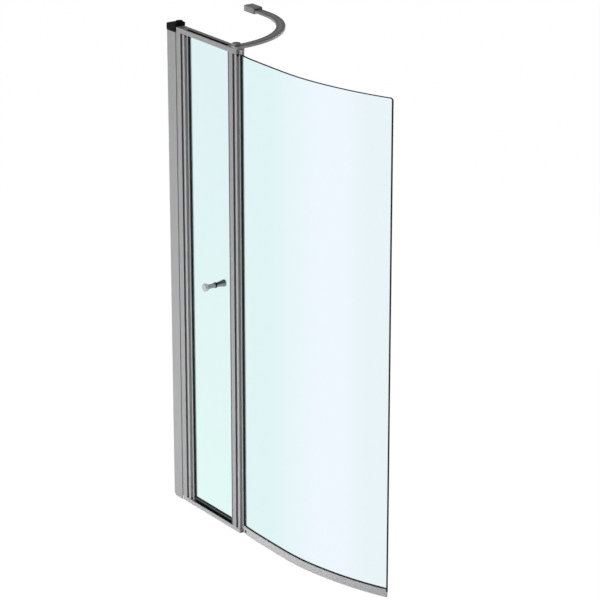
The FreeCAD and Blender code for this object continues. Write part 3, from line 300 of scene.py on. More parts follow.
def paint(finish, shader, colour, gloss):
    """Feed the shader's colour and roughness."""
    join(finish, colour, shader.inputs["Base Color"])
    join(finish, gloss, shader.inputs["Roughness"])


def object_place(finish):
    """The point's place in the shared frame, in metres."""
    return add_node(finish, "ShaderNodeTexCoord").outputs["Object"]


def height_of(finish):
    """The point's height, Z of its place."""
    return parts_of(finish, object_place(finish))["Z"]


def mark(finish, name, output="Fac"):
    """A value or vector that a piece's own points carry."""
    node = add_node(finish, "ShaderNodeAttribute")
    node.attribute_name = name
    return node.outputs[output]


def stretched_noise(finish, place, scale, detail=3.0):
    """Noise over a place, stretched by a scale for each axis."""
    mapping = add_node(finish, "ShaderNodeMapping", Scale=scale)
    noise = add_node(finish, "ShaderNodeTexNoise", Scale=1.0, Detail=detail)
    join(finish, place, mapping.inputs["Vector"])
    join(finish, mapping.outputs["Vector"], noise.inputs["Vector"])
    return noise.outputs["Fac"]


# %% Colours and relief
def ramp(finish, source, *stops):
    """Turn a value into a colour, by stops of (place, colour)."""
    node = add_node(finish, "ShaderNodeValToRGB")
    elements = node.color_ramp.elements
    for place, _ in stops[2:]:
        elements.new(place)
    for element, (place, colour) in zip(elements, stops):
        element.position = place
        element.color = (*colour, 1)
    join(finish, source, node.inputs["Fac"])
    return node.outputs["Color"]


NOISE_LOW, NOISE_HIGH = 0.3, 0.7
BUMP_HEIGHT = 0.0001


def shaded(colour, factor):
    """A colour times a factor."""
    return tuple(channel * factor for channel in colour)


def two_tones(finish, noise, dark, light):
    """Colour of a noise, from dark where it is low to light where it is high."""
    return ramp(finish, noise, (NOISE_LOW, dark), (NOISE_HIGH, light))


def blend_colours(finish, share, first, second):
    """Mix two colours by a share; each is a socket or a plain colour."""
    node = add_node(finish, "ShaderNodeMix")
    node.data_type = "RGBA"
    join(finish, share, node.inputs["Factor"])
    for socket, colour in ((node.inputs["A"], first), (node.inputs["B"], second)):
        if isinstance(colour, tuple):
            socket.default_value = (*colour, 1)
        else:
            join(finish, colour, socket)
    return node.outputs["Result"]


def within(finish, low, high):
    """One inside a box of the frame, in millimetres, and zero outside it: the distance from the
    box's centre has to be less than half its size along each axis."""
    centre = (np.array(low) + high) / 2 * MM
    half = (np.array(high) - low) / 2 * MM
    offset = add_node(finish, "ShaderNodeVectorMath")
    offset.operation = "SUBTRACT"
    offset.inputs[1].default_value = centre
    distance = add_node(finish, "ShaderNodeVectorMath")
    distance.operation = "ABSOLUTE"
    join(finish, object_place(finish), offset.inputs[0])
    join(finish, offset.outputs["Vector"], distance.inputs[0])
    axes = parts_of(finish, distance.outputs["Vector"])
    near_x, near_y, near_z = (calculate(finish, "LESS_THAN", axes[axis], reach)
                              for axis, reach in zip("XYZ", half))
    return calculate(finish, "MULTIPLY", calculate(finish, "MULTIPLY", near_x, near_y), near_z)


def with_painted_shading(finish, colour, painted_shading):
    """A colour with a painted colour in its place inside a box, when a box and that colour are
    given;
    these boxes carry painted shade and painted light.
    """
    if painted_shading is None:
        return colour
    box, shading_colour = painted_shading
    return blend_colours(finish, within(finish, *box), colour, shading_colour)


def bump(finish, shader, height, strength):
    """Let a height value tilt the surface."""
    node = add_node(finish, "ShaderNodeBump", Strength=strength, Distance=BUMP_HEIGHT)
    join(finish, height, node.inputs["Height"])
    join(finish, node.outputs["Normal"], shader.inputs["Normal"])


# %% [markdown]
# ## Finishes
# Anodised aluminium is a satin grey metal. Drawing it through a die leaves faint lines along
# the bar, so its noise is stretched along the bar and compressed across it. Straight bars can
# use the place in the frame for that; a bent bar carries its own measure of length and girth.


# %% Satin aluminium
COOL = 1.01
SATIN_GLOSS = (0.38, 0.5)
SATIN_METAL, SATIN_SHINE = 0.1, 0.2
DRAWN_LINES, BRUSHED_LINES = 0.15, 0.04


def satin_aluminium(name, place_of, scale, tone, spread, painted_shading=None, painted_sheen_of=None):
    """Grey metal with drawn lines: noise that is long in one direction and fine in the others.
    It may take a box of the frame with a painted shade colour for inside it, and a function that
    gives a share and a colour of painted sheen and shade to go over the lines."""
    finish, shader = new_finish(name)
    lines = stretched_noise(finish, place_of(finish), scale)
    metal = (tone, tone, tone * COOL)
    colour = two_tones(finish, lines, shaded(metal, 1 - spread), shaded(metal, 1 + spread))
    colour = with_painted_shading(finish, colour, painted_shading)
    if painted_sheen_of:
        share, sheen = painted_sheen_of(finish)
        colour = blend_colours(finish, share, colour, sheen)
    paint(finish, shader, colour, map_range(finish, lines, *SATIN_GLOSS))
    bump(finish, shader, lines, BRUSHED_LINES if painted_sheen_of else DRAWN_LINES)
    set_inputs(shader, Metallic=SATIN_METAL, Specular_IOR_Level=SATIN_SHINE)
    return finish


# The hinge bars are a shade lighter than the other aluminium: painted light for the light on their
# rounded noses.
ALUMINIUM_TONE, HINGE_TONE, SILL_TONE, DRIP_TONE = 0.31, 0.345, 0.36, 0.42
EVEN, STREAKED = 0.05, 0.12
FINE, LONG = 900.0, 4.0
ALONG_Z, ALONG_X, ALONG_BEND = (FINE, FINE, LONG), (LONG, FINE, FINE), (3.0, 260.0, 1.0)


def girth_place(finish):
    """Length along a carried bar and girth round its section."""
    return mark(finish, "girth", "Vector")


def straight_bar(name, direction, tone=ALUMINIUM_TONE, painted_shading=None):
    """Satin aluminium whose lines run along one axis of the frame."""
    return satin_aluminium(name, object_place, direction, tone, EVEN, painted_shading)


level_aluminium = straight_bar("level_aluminium", ALONG_X)
sill_aluminium = straight_bar("sill_aluminium", ALONG_X, SILL_TONE)
hinge_aluminium = straight_bar("hinge_aluminium", ALONG_Z, HINGE_TONE)
drip_aluminium = satin_aluminium("drip_aluminium", girth_place, ALONG_BEND, DRIP_TONE, EVEN)
print("plain aluminium finishes made")

# %% [markdown]
# Four bars carry painted shade. The inside of the header's top groove is painted black as shade,
# and a dark line of painted shade runs down the wall channel's lips and down the gap beside each
# hinge nose. A box of the frame in the bar's finish says where the painted shade lies.


# %% Bars with painted shade
# Painted shade colours: black for the header's groove and the socket liner, dark grey for the
# channel's lips and the hinge gaps.
BLACK_PAINTED_SHADE = (0.012, 0.012, 0.013)
CHANNEL_PAINTED_SHADE = (0.1, 0.1, 0.102)
GAP_PAINTED_SHADE = (0.095, 0.095, 0.097)
FAR = 1000.0
GROOVE_START, GROOVE_END, GROOVE_DEPTH = 2.0, 15.0, 6.5
CHANNEL_LINE, CHANNEL_SETBACK = 0.8, 0.3
GAP_LINE, GAP_SETBACK, GAP_REACH = 0.4, 0.9, 3.9


def side_box(node, depth, setback, reach=FAR):
    """The box round a node's +X side: its last depth of X, over a reach of Y that starts at a
    setback behind its front."""
    low, high = box_mm(node)
    start = low[1] + setback
    return (high[0] - depth, start, -FAR), (high[0] + depth, start + reach, FAR)


def gap_bar(name, node):
    """An upright with a line of painted shade in the gap beside its hinge nose."""
    return straight_bar(name, ALONG_Z,
                        painted_shading=(side_box(node, GAP_LINE, GAP_SETBACK, GAP_REACH), GAP_PAINTED_SHADE))


header_low, header_high = box_mm("top_rail")
header_groove = ((-FAR, header_low[1] + GROOVE_START, header_high[2] - GROOVE_DEPTH),
                 (FAR, header_low[1] + GROOVE_END, FAR))
channel_lips = side_box("wall_profile", CHANNEL_LINE, CHANNEL_SETBACK)
header_aluminium = straight_bar("header_aluminium", ALONG_X, painted_shading=(header_groove, BLACK_PAINTED_SHADE))
wall_aluminium = straight_bar("wall_aluminium", ALONG_Z, painted_shading=(channel_lips, CHANNEL_PAINTED_SHADE))
stile_aluminium = gap_bar("stile_aluminium", "hinge_stile")
post_aluminium = gap_bar("post_aluminium", "lock_stile")
print("lined aluminium finishes made")

# %% [markdown]
# The arm carries painted sheen and shade: a bright middle between darker edges, and bright sides,
# strongest at its straight end by the post. A point mark named width runs from zero on the arm's
# inner side to one on its outer side.


# %% Arm finish
ARM_FADE_START, ARM_FADE_END = 0.04, 0.2
SHEEN_BY_POST, SHEEN_BY_WALL = 0.95, 0.3
# Tones of the painted sheen and shade across the arm's width.
PAINTED_SHEEN_TONES = ((0.0, 0.42), (0.05, 0.22), (0.25, 0.24), (0.48, 0.5), (0.7, 0.2), (0.97, 0.2),
              (1.0, 0.45))


def grey(tone):
    """A neutral colour of one tone."""
    return tone, tone, tone


def arm_painted_sheen(finish):
    """Share and colour of the painted sheen and shade: they fade along the arm and change across
    its width.
    """
    along = parts_of(finish, girth_place(finish))["X"]
    share = map_range(finish, along, SHEEN_BY_POST, SHEEN_BY_WALL, ARM_FADE_START, ARM_FADE_END)
    stops = [(place, grey(tone)) for place, tone in PAINTED_SHEEN_TONES]
    return share, ramp(finish, mark(finish, "width"), *stops)


arm_aluminium = satin_aluminium("arm_aluminium", girth_place, ALONG_BEND, ALUMINIUM_TONE, STREAKED,
                                painted_sheen_of=arm_painted_sheen)
print("arm finish made")

# %% [markdown]
# Mouldings and rubber are darker and duller. A mould leaves an even fine grain, so their noise
# has one small scale in all directions and moves tone, gloss and height together. The strips that
# hold the panes end in a thin lip on the glass. The edge of the strip on the bath side, seen
# through the pane, is painted paler: painted light standing in for the light seen past it.


# %% Mouldings and rubber
GRAIN, GRAIN_DETAIL = (1400.0, 1400.0, 1400.0), 2.0
GRAIN_DARK, GRAIN_LIGHT, GRAIN_GLOSS, GRAIN_BUMP = 0.8, 1.25, 0.2, 0.25


def grain_of(finish, scale=GRAIN):
    """Small noise over the place in the frame."""
    return stretched_noise(finish, object_place(finish), scale, GRAIN_DETAIL)


def moulded(name, colour, roughness, shine, painted_shading=None):
    """Fine moulded grain: small even noise in tone, gloss and height. It may take a box of the
    frame
    with a painted colour for inside it: painted light on the strips' lips."""
    finish, shader = new_finish(name)
    grain = grain_of(finish)
    tones = two_tones(finish, grain, shaded(colour, GRAIN_DARK), shaded(colour, GRAIN_LIGHT))
    gloss = map_range(finish, grain, roughness * (1 - GRAIN_GLOSS), roughness * (1 + GRAIN_GLOSS))
    paint(finish, shader, with_painted_shading(finish, tones, painted_shading), gloss)
    bump(finish, shader, grain, GRAIN_BUMP)
    set_inputs(shader, Specular_IOR_Level=shine)
    return finish


DULL, SMOOTH = 0.6, 0.5
black_moulding = moulded("black_moulding", (0.006, 0.006, 0.007), DULL, 0.06)
cap_moulding = moulded("cap_moulding", (0.22, 0.222, 0.225), SMOOTH, 0.2)
foot_moulding = moulded("foot_moulding", (0.34, 0.342, 0.345), SMOOTH, 0.2)
bearing_moulding = moulded("bearing_moulding", (0.26, 0.26, 0.262), SMOOTH, 0.2)
dark_steel = moulded("dark_steel", (0.008, 0.008, 0.009), DULL, 0.05)
grey_seal = moulded("grey_seal", (0.12, 0.123, 0.127), SMOOTH, 0.25)

RUBBER, RUBBER_SHINE = (0.012, 0.014, 0.014), 0.2
# Painted light: the edge of each bath-side strip is painted paler where it is seen through the
# pane.
LIP_PAINTED_LIGHT = (0.42, 0.45, 0.45)
DOOR_LIP, DOOR_LIP_SETBACK = 1.9, 5.6
PANEL_LIP, PANEL_LIP_SETBACK = 1.0, 8.6
door_lip = side_box("door_gasket", DOOR_LIP, DOOR_LIP_SETBACK)
panel_lip = side_box("panel_gasket", PANEL_LIP, PANEL_LIP_SETBACK)
black_rubber = moulded("black_rubber", RUBBER, DULL, RUBBER_SHINE)
door_strip = moulded("door_strip", RUBBER, DULL, RUBBER_SHINE, (door_lip, LIP_PAINTED_LIGHT))
panel_strip = moulded("panel_strip", RUBBER, DULL, RUBBER_SHINE, (panel_lip, LIP_PAINTED_LIGHT))
print("mouldings made")

# %% [markdown]
# The seal under the door is extruded in two grades of rubber: a soft black lower part that wipes
# the sill, and a harder, greener clip that grips the pane and ends in a dark lip.

# %% Two-grade seal
SEAL_GRAIN, SEAL_GLOSS = (8.0, 1400.0, 1400.0), (0.5, 0.75)
SEAL_BUMP, SEAL_SHINE = 0.2, 0.1
SOFT, GRIP, DARK_LIP = (0.003, 0.003, 0.004), (0.06, 0.07, 0.068), (0.018, 0.021, 0.02)
SEAL_STOPS = ((0.0, SOFT), (0.62, SOFT), (0.67, GRIP), (0.85, GRIP), (0.92, DARK_LIP))


def two_grade_seal(name, foot, top):
    """Black rubber whose colour changes with height, from foot to top in millimetres."""
    finish, shader = new_finish(name)
    grain = grain_of(finish, SEAL_GRAIN)
    share = map_range(finish, height_of(finish), 0.0, 1.0, foot * MM, top * MM)
    colour = ramp(finish, share, *SEAL_STOPS)
    paint(finish, shader, colour, map_range(finish, grain, *SEAL_GLOSS))
    bump(finish, shader, grain, SEAL_BUMP)
    set_inputs(shader, Specular_IOR_Level=SEAL_SHINE)
    return finish


sill_seal = two_grade_seal("sill_seal", *(corner[2] for corner in box_mm("door_bottom_seal")))
print("two-grade seal made")

# %% [markdown]
# The arm's far end sits in a moulded liner in the wall bracket. The legs beside the arm are dark
# grey, and the part over the arm, deep in the socket, is painted black as shade.

# %% Socket liner
LINER_OVER, LINER_FADE = 2.4, 0.2
LINER_DARK, LINER_LIGHT = 0.09, 0.12
LINER_GLOSS, LINER_SHINE = (0.5, 0.7), 0.15


def liner_with_painted_shade(name, roof):
    """Grey moulding, painted black as shade above a roof height, in millimetres."""
    finish, shader = new_finish(name)
    grain = grain_of(finish)
    above = map_range(finish, height_of(finish), 0.0, 1.0, roof * MM, (roof + LINER_FADE) * MM)
    legs = two_tones(finish, grain, grey(LINER_DARK), grey(LINER_LIGHT))
    colour = blend_colours(finish, above, legs, BLACK_PAINTED_SHADE)
    paint(finish, shader, colour, map_range(finish, grain, *LINER_GLOSS))
    set_inputs(shader, Specular_IOR_Level=LINER_SHINE)
    return finish


socket_lining = liner_with_painted_shade("socket_lining", box_mm("brace_socket_liner")[1][2] - LINER_OVER)
print("socket liner made")

# %% [markdown]
# Chrome and stainless steel are bright metals whose look comes from what they reflect. A trace
# of haze in the gloss keeps them from looking like a perfect mirror. A knob's neck and sides are
# duller than its head and painted darker: painted shade for the dark reflections on its sides.

# %% Bright metals
HAZE, HAZE_DETAIL = (260.0, 260.0, 260.0), 4.0
HAZE_DARK, HAZE_GLOSS = 0.92, 0.3


def polished_metal(name, colour, roughness, neck=None):
    """Bright metal with a trace of polishing haze. Neck is the painted shade colour and the
    roughness that it has where the neck mark is one."""
    finish, shader = new_finish(name)
    haze = stretched_noise(finish, object_place(finish), HAZE, HAZE_DETAIL)
    tone = two_tones(finish, haze, shaded(colour, HAZE_DARK), colour)
    if neck:
        neck_shade, neck_roughness = neck
        tone = blend_colours(finish, mark(finish, "neck"), tone, neck_shade)
        gloss = map_range(finish, mark(finish, "neck"), roughness, neck_roughness)
    else:
        gloss = map_range(finish, haze, roughness * (1 - HAZE_GLOSS), roughness * (1 + HAZE_GLOSS))
    paint(finish, shader, tone, gloss)
    set_inputs(shader, Metallic=1.0)
    return finish


CHROME, CHROME_GLOSS = (0.55, 0.56, 0.57), 0.12
# The neck's darker colour is painted shade.
NECK_PAINTED_SHADE, NECK_GLOSS = (0.3, 0.305, 0.31), 0.22
STAINLESS, STAINLESS_GLOSS = (0.45, 0.45, 0.46), 0.3
chrome = polished_metal("chrome", CHROME, CHROME_GLOSS, (NECK_PAINTED_SHADE, NECK_GLOSS))
steel = polished_metal("steel", STAINLESS, STAINLESS_GLOSS)
print("metals made")

# %% [markdown]
# Clear glass has a faint tint that grows with the length of glass that the light crosses. Seen
# through its faces a pane is pale mint to pale blue; at a ground edge the light has run the
# whole way down the sheet and the glass looks deep green. A point mark named edge says where
# the ground edges are, and one named across how far along the bend a point lies.

# %% Glass
GLASS_IOR = 1.45
GROUND_ROUGHNESS = 0.9
EDGE_GREEN, EDGE_PALE = (0.012, 0.022, 0.02), (0.07, 0.095, 0.092)
EDGE_STOPS = ((0.2, EDGE_GREEN), (0.45, EDGE_PALE), (0.9, EDGE_PALE), (1.0, EDGE_GREEN))
DOOR_MINT, DOOR_BLUE = (0.713, 0.9, 0.87), (0.703, 0.843, 0.87)
BEND_MINT, BEND_PALE = (0.705, 0.865, 0.873), (0.808, 0.89, 0.948)
BEND_DEEP = (0.776, 0.866, 0.903)
BEND_STOPS = ((0.05, BEND_MINT), (0.25, BEND_MINT), (0.58, BEND_PALE), (0.76, BEND_PALE),
              (0.88, BEND_DEEP))


def pane_glass(name, tint_of):
    """Tinted clear glass with dark ground edges; tint_of gives the colour of the faces."""
    finish, shader = new_finish(name)
    edge = mark(finish, "edge")
    ground = ramp(finish, mark(finish, "across"), *EDGE_STOPS)
    tint = blend_colours(finish, edge, tint_of(finish), ground)
    paint(finish, shader, tint, map_range(finish, edge, 0.0, GROUND_ROUGHNESS))
    join(finish, map_range(finish, edge, 1.0, 0.0), shader.inputs["Transmission Weight"])
    set_inputs(shader, IOR=GLASS_IOR)
    return finish


def door_tint(finish):
    """Mint at the foot of the door, bluer at its top."""
    share = map_range(finish, height_of(finish), 0.0, 1.0, CAD_BOX[0][2], CAD_BOX[1][2])
    return ramp(finish, share, (0.1, DOOR_MINT), (0.9, DOOR_BLUE))


def bend_tint(finish):
    """Mint by the hinge, pale blue past the middle of the bend, a shade deeper at the free end."""
    return ramp(finish, mark(finish, "across"), *BEND_STOPS)


door_pane_glass = pane_glass("door_pane_glass", door_tint)
bend_pane_glass = pane_glass("bend_pane_glass", bend_tint)
print("glass finishes made")

# %% [markdown]
# The strip on the door's free edge is a soft clear extrusion, a little milky where the plastic
# is thick. It is nearly glass, with a slow cloud in its colour and its gloss.

# %% Clear strip
CLOUD, CLOUD_DETAIL, CLOUD_DARK = (60.0, 60.0, 6.0), 2.0, 0.95
STRIP_GLOSS, STRIP_CLEARNESS = (0.08, 0.2), 0.9


def clear_strip(name, colour):
    """Soft clear strip with a slightly milky body."""
    finish, shader = new_finish(name)
    cloud = stretched_noise(finish, object_place(finish), CLOUD, CLOUD_DETAIL)
    tones = two_tones(finish, cloud, shaded(colour, CLOUD_DARK), colour)
    paint(finish, shader, tones, map_range(finish, cloud, *STRIP_GLOSS))
    set_inputs(shader, Transmission_Weight=STRIP_CLEARNESS, IOR=GLASS_IOR)
    return finish


clear_seal = clear_strip("clear_seal", (0.9, 0.94, 0.94))
print("clear strip made")

# %% [markdown]
# ## Dress the CAD nodes
# Each CAD node takes the finish of its slot in the record. Aluminium is by default the one whose
# lines run level. The uprights, the header, the sill and the hinge bars have one of their own, and
# so have the strips, the seal, the bearing and the liner whose parts differ in tone. Clear pieces
# cast no shadow, because light goes through them.

# %% Finish of each node
SLOT_FINISH = {
    "satin_aluminium": level_aluminium,
    "black_plastic": black_moulding,
    "grey_plastic": foot_moulding,
    "grey_seal": grey_seal,
    "dark_steel": dark_steel,
    "black_rubber": black_rubber,
    "clear_seal": clear_seal,
    "toughened_glass": door_pane_glass,
    "chrome": chrome,
    "steel": steel,
}
OWN_FINISH = {
    "top_rail": header_aluminium,
    "sill": sill_aluminium,
    "wall_profile": wall_aluminium,
    "hinge_stile": stile_aluminium,
    "lock_stile": post_aluminium,
    "door_hinge_profile": hinge_aluminium,
    "panel_hinge_profile": hinge_aluminium,
    "door_bottom_seal": sill_seal,
    "door_gasket": door_strip,
    "panel_gasket": panel_strip,
    "panel_bottom_bearing": bearing_moulding,
    "brace_socket_liner": socket_lining,
}
for part in frame["record"]["subparts"]:
    node = NODES[part["node"]]
    node.data.materials.clear()
    node.data.materials.append(OWN_FINISH.get(part["node"], SLOT_FINISH[part["material_slot"]]))
for name in ("door_glass", "door_edge_seal"):
    NODES[name].visible_shadow = False
print("dressed", len(NODES), "nodes")

# %% [markdown]
# ## Skins through rings
# Most pieces of a screen are drawn, bent or turned, so each is one ring of points carried along
# a path or round an axis. The skin joins each point to its neighbours on the next ring, and a
# flat lid closes each end. Whole arrays do this at once, with no loop over points.

# %% Rings to mesh
SHARP_ANGLE = math.radians(35)
QUAD = 4


def ring_faces(stations, count, first):
    """Quads between neighbouring rings, and one lid on the first and on the last ring."""
    index = first + np.arange(stations * count).reshape(stations, count)
    here, ahead = index[:-1], index[1:]
    beside, beyond = np.roll(here, -1, axis=1), np.roll(ahead, -1, axis=1)
    quads = np.stack([here, beside, beyond, ahead], axis=-1).reshape(-1, QUAD)
    return quads.tolist() + [index[0].tolist(), index[-1].tolist()]


def make_piece(name, solids, finish, body, replaced=(), marks=None):
    """One piece from ring arrays [station, point, xyz] in millimetres, with its point marks. Its
    faces are turned outwards, and its lids stay flat beside the smooth skin."""
    points = np.concatenate([rings.reshape(-1, 3) for rings in solids])
    faces = []
    first = 0
    for rings in solids:
        faces += ring_faces(rings.shape[0], rings.shape[1], first)
        first += rings.shape[0] * rings.shape[1]
    mesh = bpy.data.meshes.new(name)
    mesh.from_pydata((points * MM).tolist(), [], faces)
    for label, values in (marks or {}).items():
        kind, field = ("FLOAT", "value") if values.ndim == 1 else ("FLOAT_VECTOR", "vector")
        attribute = mesh.attributes.new(label, kind, "POINT")
        attribute.data.foreach_set(field, values.astype(np.float32).ravel())
    work = bmesh.new()
    work.from_mesh(mesh)
    bmesh.ops.recalc_face_normals(work, faces=work.faces)
    work.to_mesh(mesh)
    work.free()
    mesh.shade_smooth()
    mesh.set_sharp_from_angle(angle=SHARP_ANGLE)
    corner_counts = np.empty(len(mesh.polygons), np.int32)
    mesh.polygons.foreach_get("loop_total", corner_counts)
    mesh.polygons.foreach_set("use_smooth", corner_counts == QUAD)
    mesh.materials.append(finish)
    piece = bpy.data.objects.new(name, mesh)
    bpy.context.scene.collection.objects.link(piece)
    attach(piece, body)
    if replaced:
        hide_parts(*replaced)
    print(name, "has", len(mesh.polygons), "faces")
    return piece


# %% Sections and paths
def rounded_outline(corners, radii, steps=5):
    """Closed outline with eased corners: each corner C becomes the curve
    (1-t)^2 A + 2t(1-t) C + t^2 B, where A and B lie one radius before and after it."""
    corners = np.asarray(corners, float)
    reach = np.broadcast_to(radii, len(corners))[:, None]
    before = np.roll(corners, 1, axis=0) - corners
    after = np.roll(corners, -1, axis=0) - corners
    start = corners + before / np.linalg.norm(before, axis=1, keepdims=True) * reach
    end = corners + after / np.linalg.norm(after, axis=1, keepdims=True) * reach
    start, peak, end = start[:, None], corners[:, None], end[:, None]
    t = np.linspace(0, 1, steps)[None, :, None]
    return ((1 - t) ** 2 * start + 2 * t * (1 - t) * peak + t ** 2 * end).reshape(-1, 2)


def carry(section, path, outward):
    """Section points at every path point: x runs along the outward direction and y is height."""
    flat = path[:, None, :] + section[..., 0, None] * outward[:, None, :]
    rise = np.broadcast_to(section[..., 1, None], flat.shape[:2] + (1,))
    return np.concatenate([flat, rise], axis=-1)


def girth_marks(rings):
    """Length along the path and girth round the section of every ring point, in metres: sums of
    the steps from ring to ring and of the sides of the first ring."""
    steps = np.linalg.norm(np.diff(rings.mean(axis=1), axis=0), axis=1)
    length = np.concatenate([[0], np.cumsum(steps)])
    sides = np.linalg.norm(np.roll(rings[0], -1, axis=0) - rings[0], axis=1)
    girth = np.concatenate([[0], np.cumsum(sides)[:-1]])
    along, around = np.meshgrid(length, girth, indexing="ij")
    return np.stack([along, around, np.zeros_like(along)], axis=-1).reshape(-1, 3) * MM


# %% [markdown]
# ## Curved pane
# The panel is one sheet of six millimetre glass, bent in a furnace: nearly flat beside its hinge
# bar, and then round a circle arc. Its edges are ground and eased, and its free top corner is
# rounded. It could be a bent plane with thickness, but a section carried along the bend lets the
# top line drop round the corner and lets each point say how near it is to a ground edge.

# %% The bend
BEND_RADIUS = 1098.0
BEND_START = np.array((354.3, 0.0))
BEND_HEADING = math.radians(-8.35)
BEND_LENGTH = 612.0
BEND_STATIONS = 150
FLAT_DEPTH, FLAT_SKEW = 5.0, 0.83
FLAT_START, FLAT_END = 15.0, 330.0
TURN_DEPTH, TURN_START = 1.5, 450.0


def share_between(lengths, start, end):
    """Zero up to a start, one from an end on, and even in between."""
    return np.clip((lengths - start) / (end - start), 0, 1)


def bend_path(lengths):
    """Points and outward directions on the circle arc: a length s turns the heading by s/R. The
    flatter stretch lies D sin(pi t^k)^2 inside the arc, where t goes from zero to one along it,
    and the free end turns in by E u^2, where u does the same."""
    first = np.array((math.sin(BEND_HEADING), -math.cos(BEND_HEADING)))
    centre = BEND_START - BEND_RADIUS * first
    heading = BEND_HEADING + lengths / BEND_RADIUS
    outward = np.stack([np.sin(heading), -np.cos(heading)], axis=-1)
    flat = share_between(lengths, FLAT_START, FLAT_END) ** FLAT_SKEW
    inward = FLAT_DEPTH * np.sin(math.pi * flat) ** 2
    inward += TURN_DEPTH * share_between(lengths, TURN_START, BEND_LENGTH) ** 2
    return centre + (BEND_RADIUS - inward)[:, None] * outward, outward


print("the bend ends at", bend_path(np.array([BEND_LENGTH]))[0].round(1))

# %% Bent pane
PANE_HALF = 3.0
PANE_LEAD, PANE_END = -1.1, BEND_LENGTH + 1.0
ARRIS = 0.8
EDGE_BAND, END_BAND, EDGE_FADE = 1.5, 2.2, 0.4
CORNER_ROUND, CORNER_STATIONS = 8.0, 16
FACE_ROWS = np.linspace(0.2, 0.8, 4)

pane_foot, pane_top = (corner[2] for corner in box_mm("panel_glass"))
round_start = PANE_END - CORNER_ROUND
corner_steps = np.sin(np.linspace(0, math.pi / 2, CORNER_STATIONS))[1:]
lengths = np.concatenate([np.linspace(PANE_LEAD, round_start - EDGE_BAND, BEND_STATIONS),
                          round_start + CORNER_ROUND * corner_steps])
past = np.clip(lengths - round_start, 0, CORNER_ROUND)
top_line = (pane_top - CORNER_ROUND + np.sqrt(CORNER_ROUND ** 2 - past ** 2))[:, None]
foot_line = np.full_like(top_line, pane_foot)

lift = np.array((ARRIS, EDGE_BAND, EDGE_BAND + EDGE_FADE))
side_heights = np.concatenate([foot_line + lift, foot_line + (top_line - foot_line) * FACE_ROWS,
                               top_line - lift[::-1]], axis=1)
heights = np.concatenate([side_heights, top_line, top_line, side_heights[:, ::-1],
                          foot_line, foot_line], axis=1)
face = np.full(side_heights.shape[1], PANE_HALF)
eased = PANE_HALF - ARRIS
depths = np.concatenate([face, (eased, -eased), -face, (-eased, eased)])
pane_section = np.stack([np.broadcast_to(depths, heights.shape), heights], axis=-1)
pane_rings = carry(pane_section, *bend_path(lengths))

to_end = (PANE_END - lengths)[:, None]
nearest = np.minimum(top_line - heights, to_end + EDGE_BAND - END_BAND)
edge_mark = np.clip((EDGE_BAND + EDGE_FADE - nearest) / EDGE_FADE, 0, 1)
across_mark = np.broadcast_to((lengths / BEND_LENGTH)[:, None], heights.shape)
pane_marks = {"edge": edge_mark.ravel(), "across": across_mark.ravel()}
curved_pane = make_piece("curved_pane", [pane_rings], bend_pane_glass, "panel",
                         ["panel_glass"], pane_marks)
curved_pane.visible_shadow = False

# %% [markdown]
# ## Drip rail, bead and strip
# An aluminium channel is bent like the pane and pushed onto its foot. A thin black bead is set
# in beside the glass on both sides, and shows as the dark line along its top. A soft strip sits in
# the groove below and hangs to the bath's rim. All three are sections carried along the same bend
# as the pane, so that they cannot part from it.

# %% Drip rail
RAIL_HALF = 5.5
RAIL_LEAD, RAIL_END = 8.5, BEND_LENGTH - 1.0
SLOT_PLAY = 0.2
SLOT_HALF = PANE_HALF + SLOT_PLAY
DRIP_GROOVE_HALF, DRIP_GROOVE_TOP = 1.6, 5.1
RAIL_EASE, LIP_EASE, INNER_EASE = 0.9, 0.3, 0.2

rail_foot, rail_top = (corner[2] for corner in box_mm("panel_bottom_rail"))
groove_top = rail_foot + DRIP_GROOVE_TOP
rail_corners = [(-RAIL_HALF, rail_foot), (-DRIP_GROOVE_HALF, rail_foot),
                (-DRIP_GROOVE_HALF, groove_top), (DRIP_GROOVE_HALF, groove_top),
                (DRIP_GROOVE_HALF, rail_foot), (RAIL_HALF, rail_foot),
                (RAIL_HALF, rail_top), (SLOT_HALF, rail_top), (SLOT_HALF, pane_foot),
                (-SLOT_HALF, pane_foot), (-SLOT_HALF, rail_top), (-RAIL_HALF, rail_top)]
rail_eases = [RAIL_EASE, *[INNER_EASE] * 4, RAIL_EASE, RAIL_EASE, LIP_EASE, INNER_EASE, INNER_EASE,
              LIP_EASE, RAIL_EASE]
rail_path = bend_path(np.linspace(RAIL_LEAD, RAIL_END, BEND_STATIONS))
rail_rings = carry(rounded_outline(rail_corners, rail_eases), *rail_path)
make_piece("drip_rail", [rail_rings], drip_aluminium, "panel",
           ["panel_bottom_rail"], {"girth": girth_marks(rail_rings)})

# %% Bead and strip
BEAD_THICK, BEAD_HEIGHT, BEAD_SHOULDER = 1.5, 2.6, 0.6
BEAD_EASE, BEAD_STEPS = 0.25, 3
bead_rings = []
for side in (-1, 1):
    near, far = side * PANE_HALF, side * (PANE_HALF + BEAD_THICK)
    bead_corners = [(near, rail_top), (far, rail_top),
                    (far, rail_top + BEAD_HEIGHT * BEAD_SHOULDER), (near, rail_top + BEAD_HEIGHT)]
    bead_rings.append(carry(rounded_outline(bead_corners, BEAD_EASE, BEAD_STEPS), *rail_path))
make_piece("glazing_bead", bead_rings, black_rubber, "panel")

DRIP_HALF, DRIP_EASE = 1.5, 0.4
drip_foot, drip_top = (corner[2] for corner in box_mm("panel_drip_seal"))
drip_corners = [(-DRIP_HALF, drip_foot), (DRIP_HALF, drip_foot), (DRIP_HALF, drip_top),
                (-DRIP_HALF, drip_top)]
drip_rings = carry(rounded_outline(drip_corners, DRIP_EASE), *rail_path)
make_piece("drip_strip", [drip_rings], black_rubber, "panel", ["panel_drip_seal"])

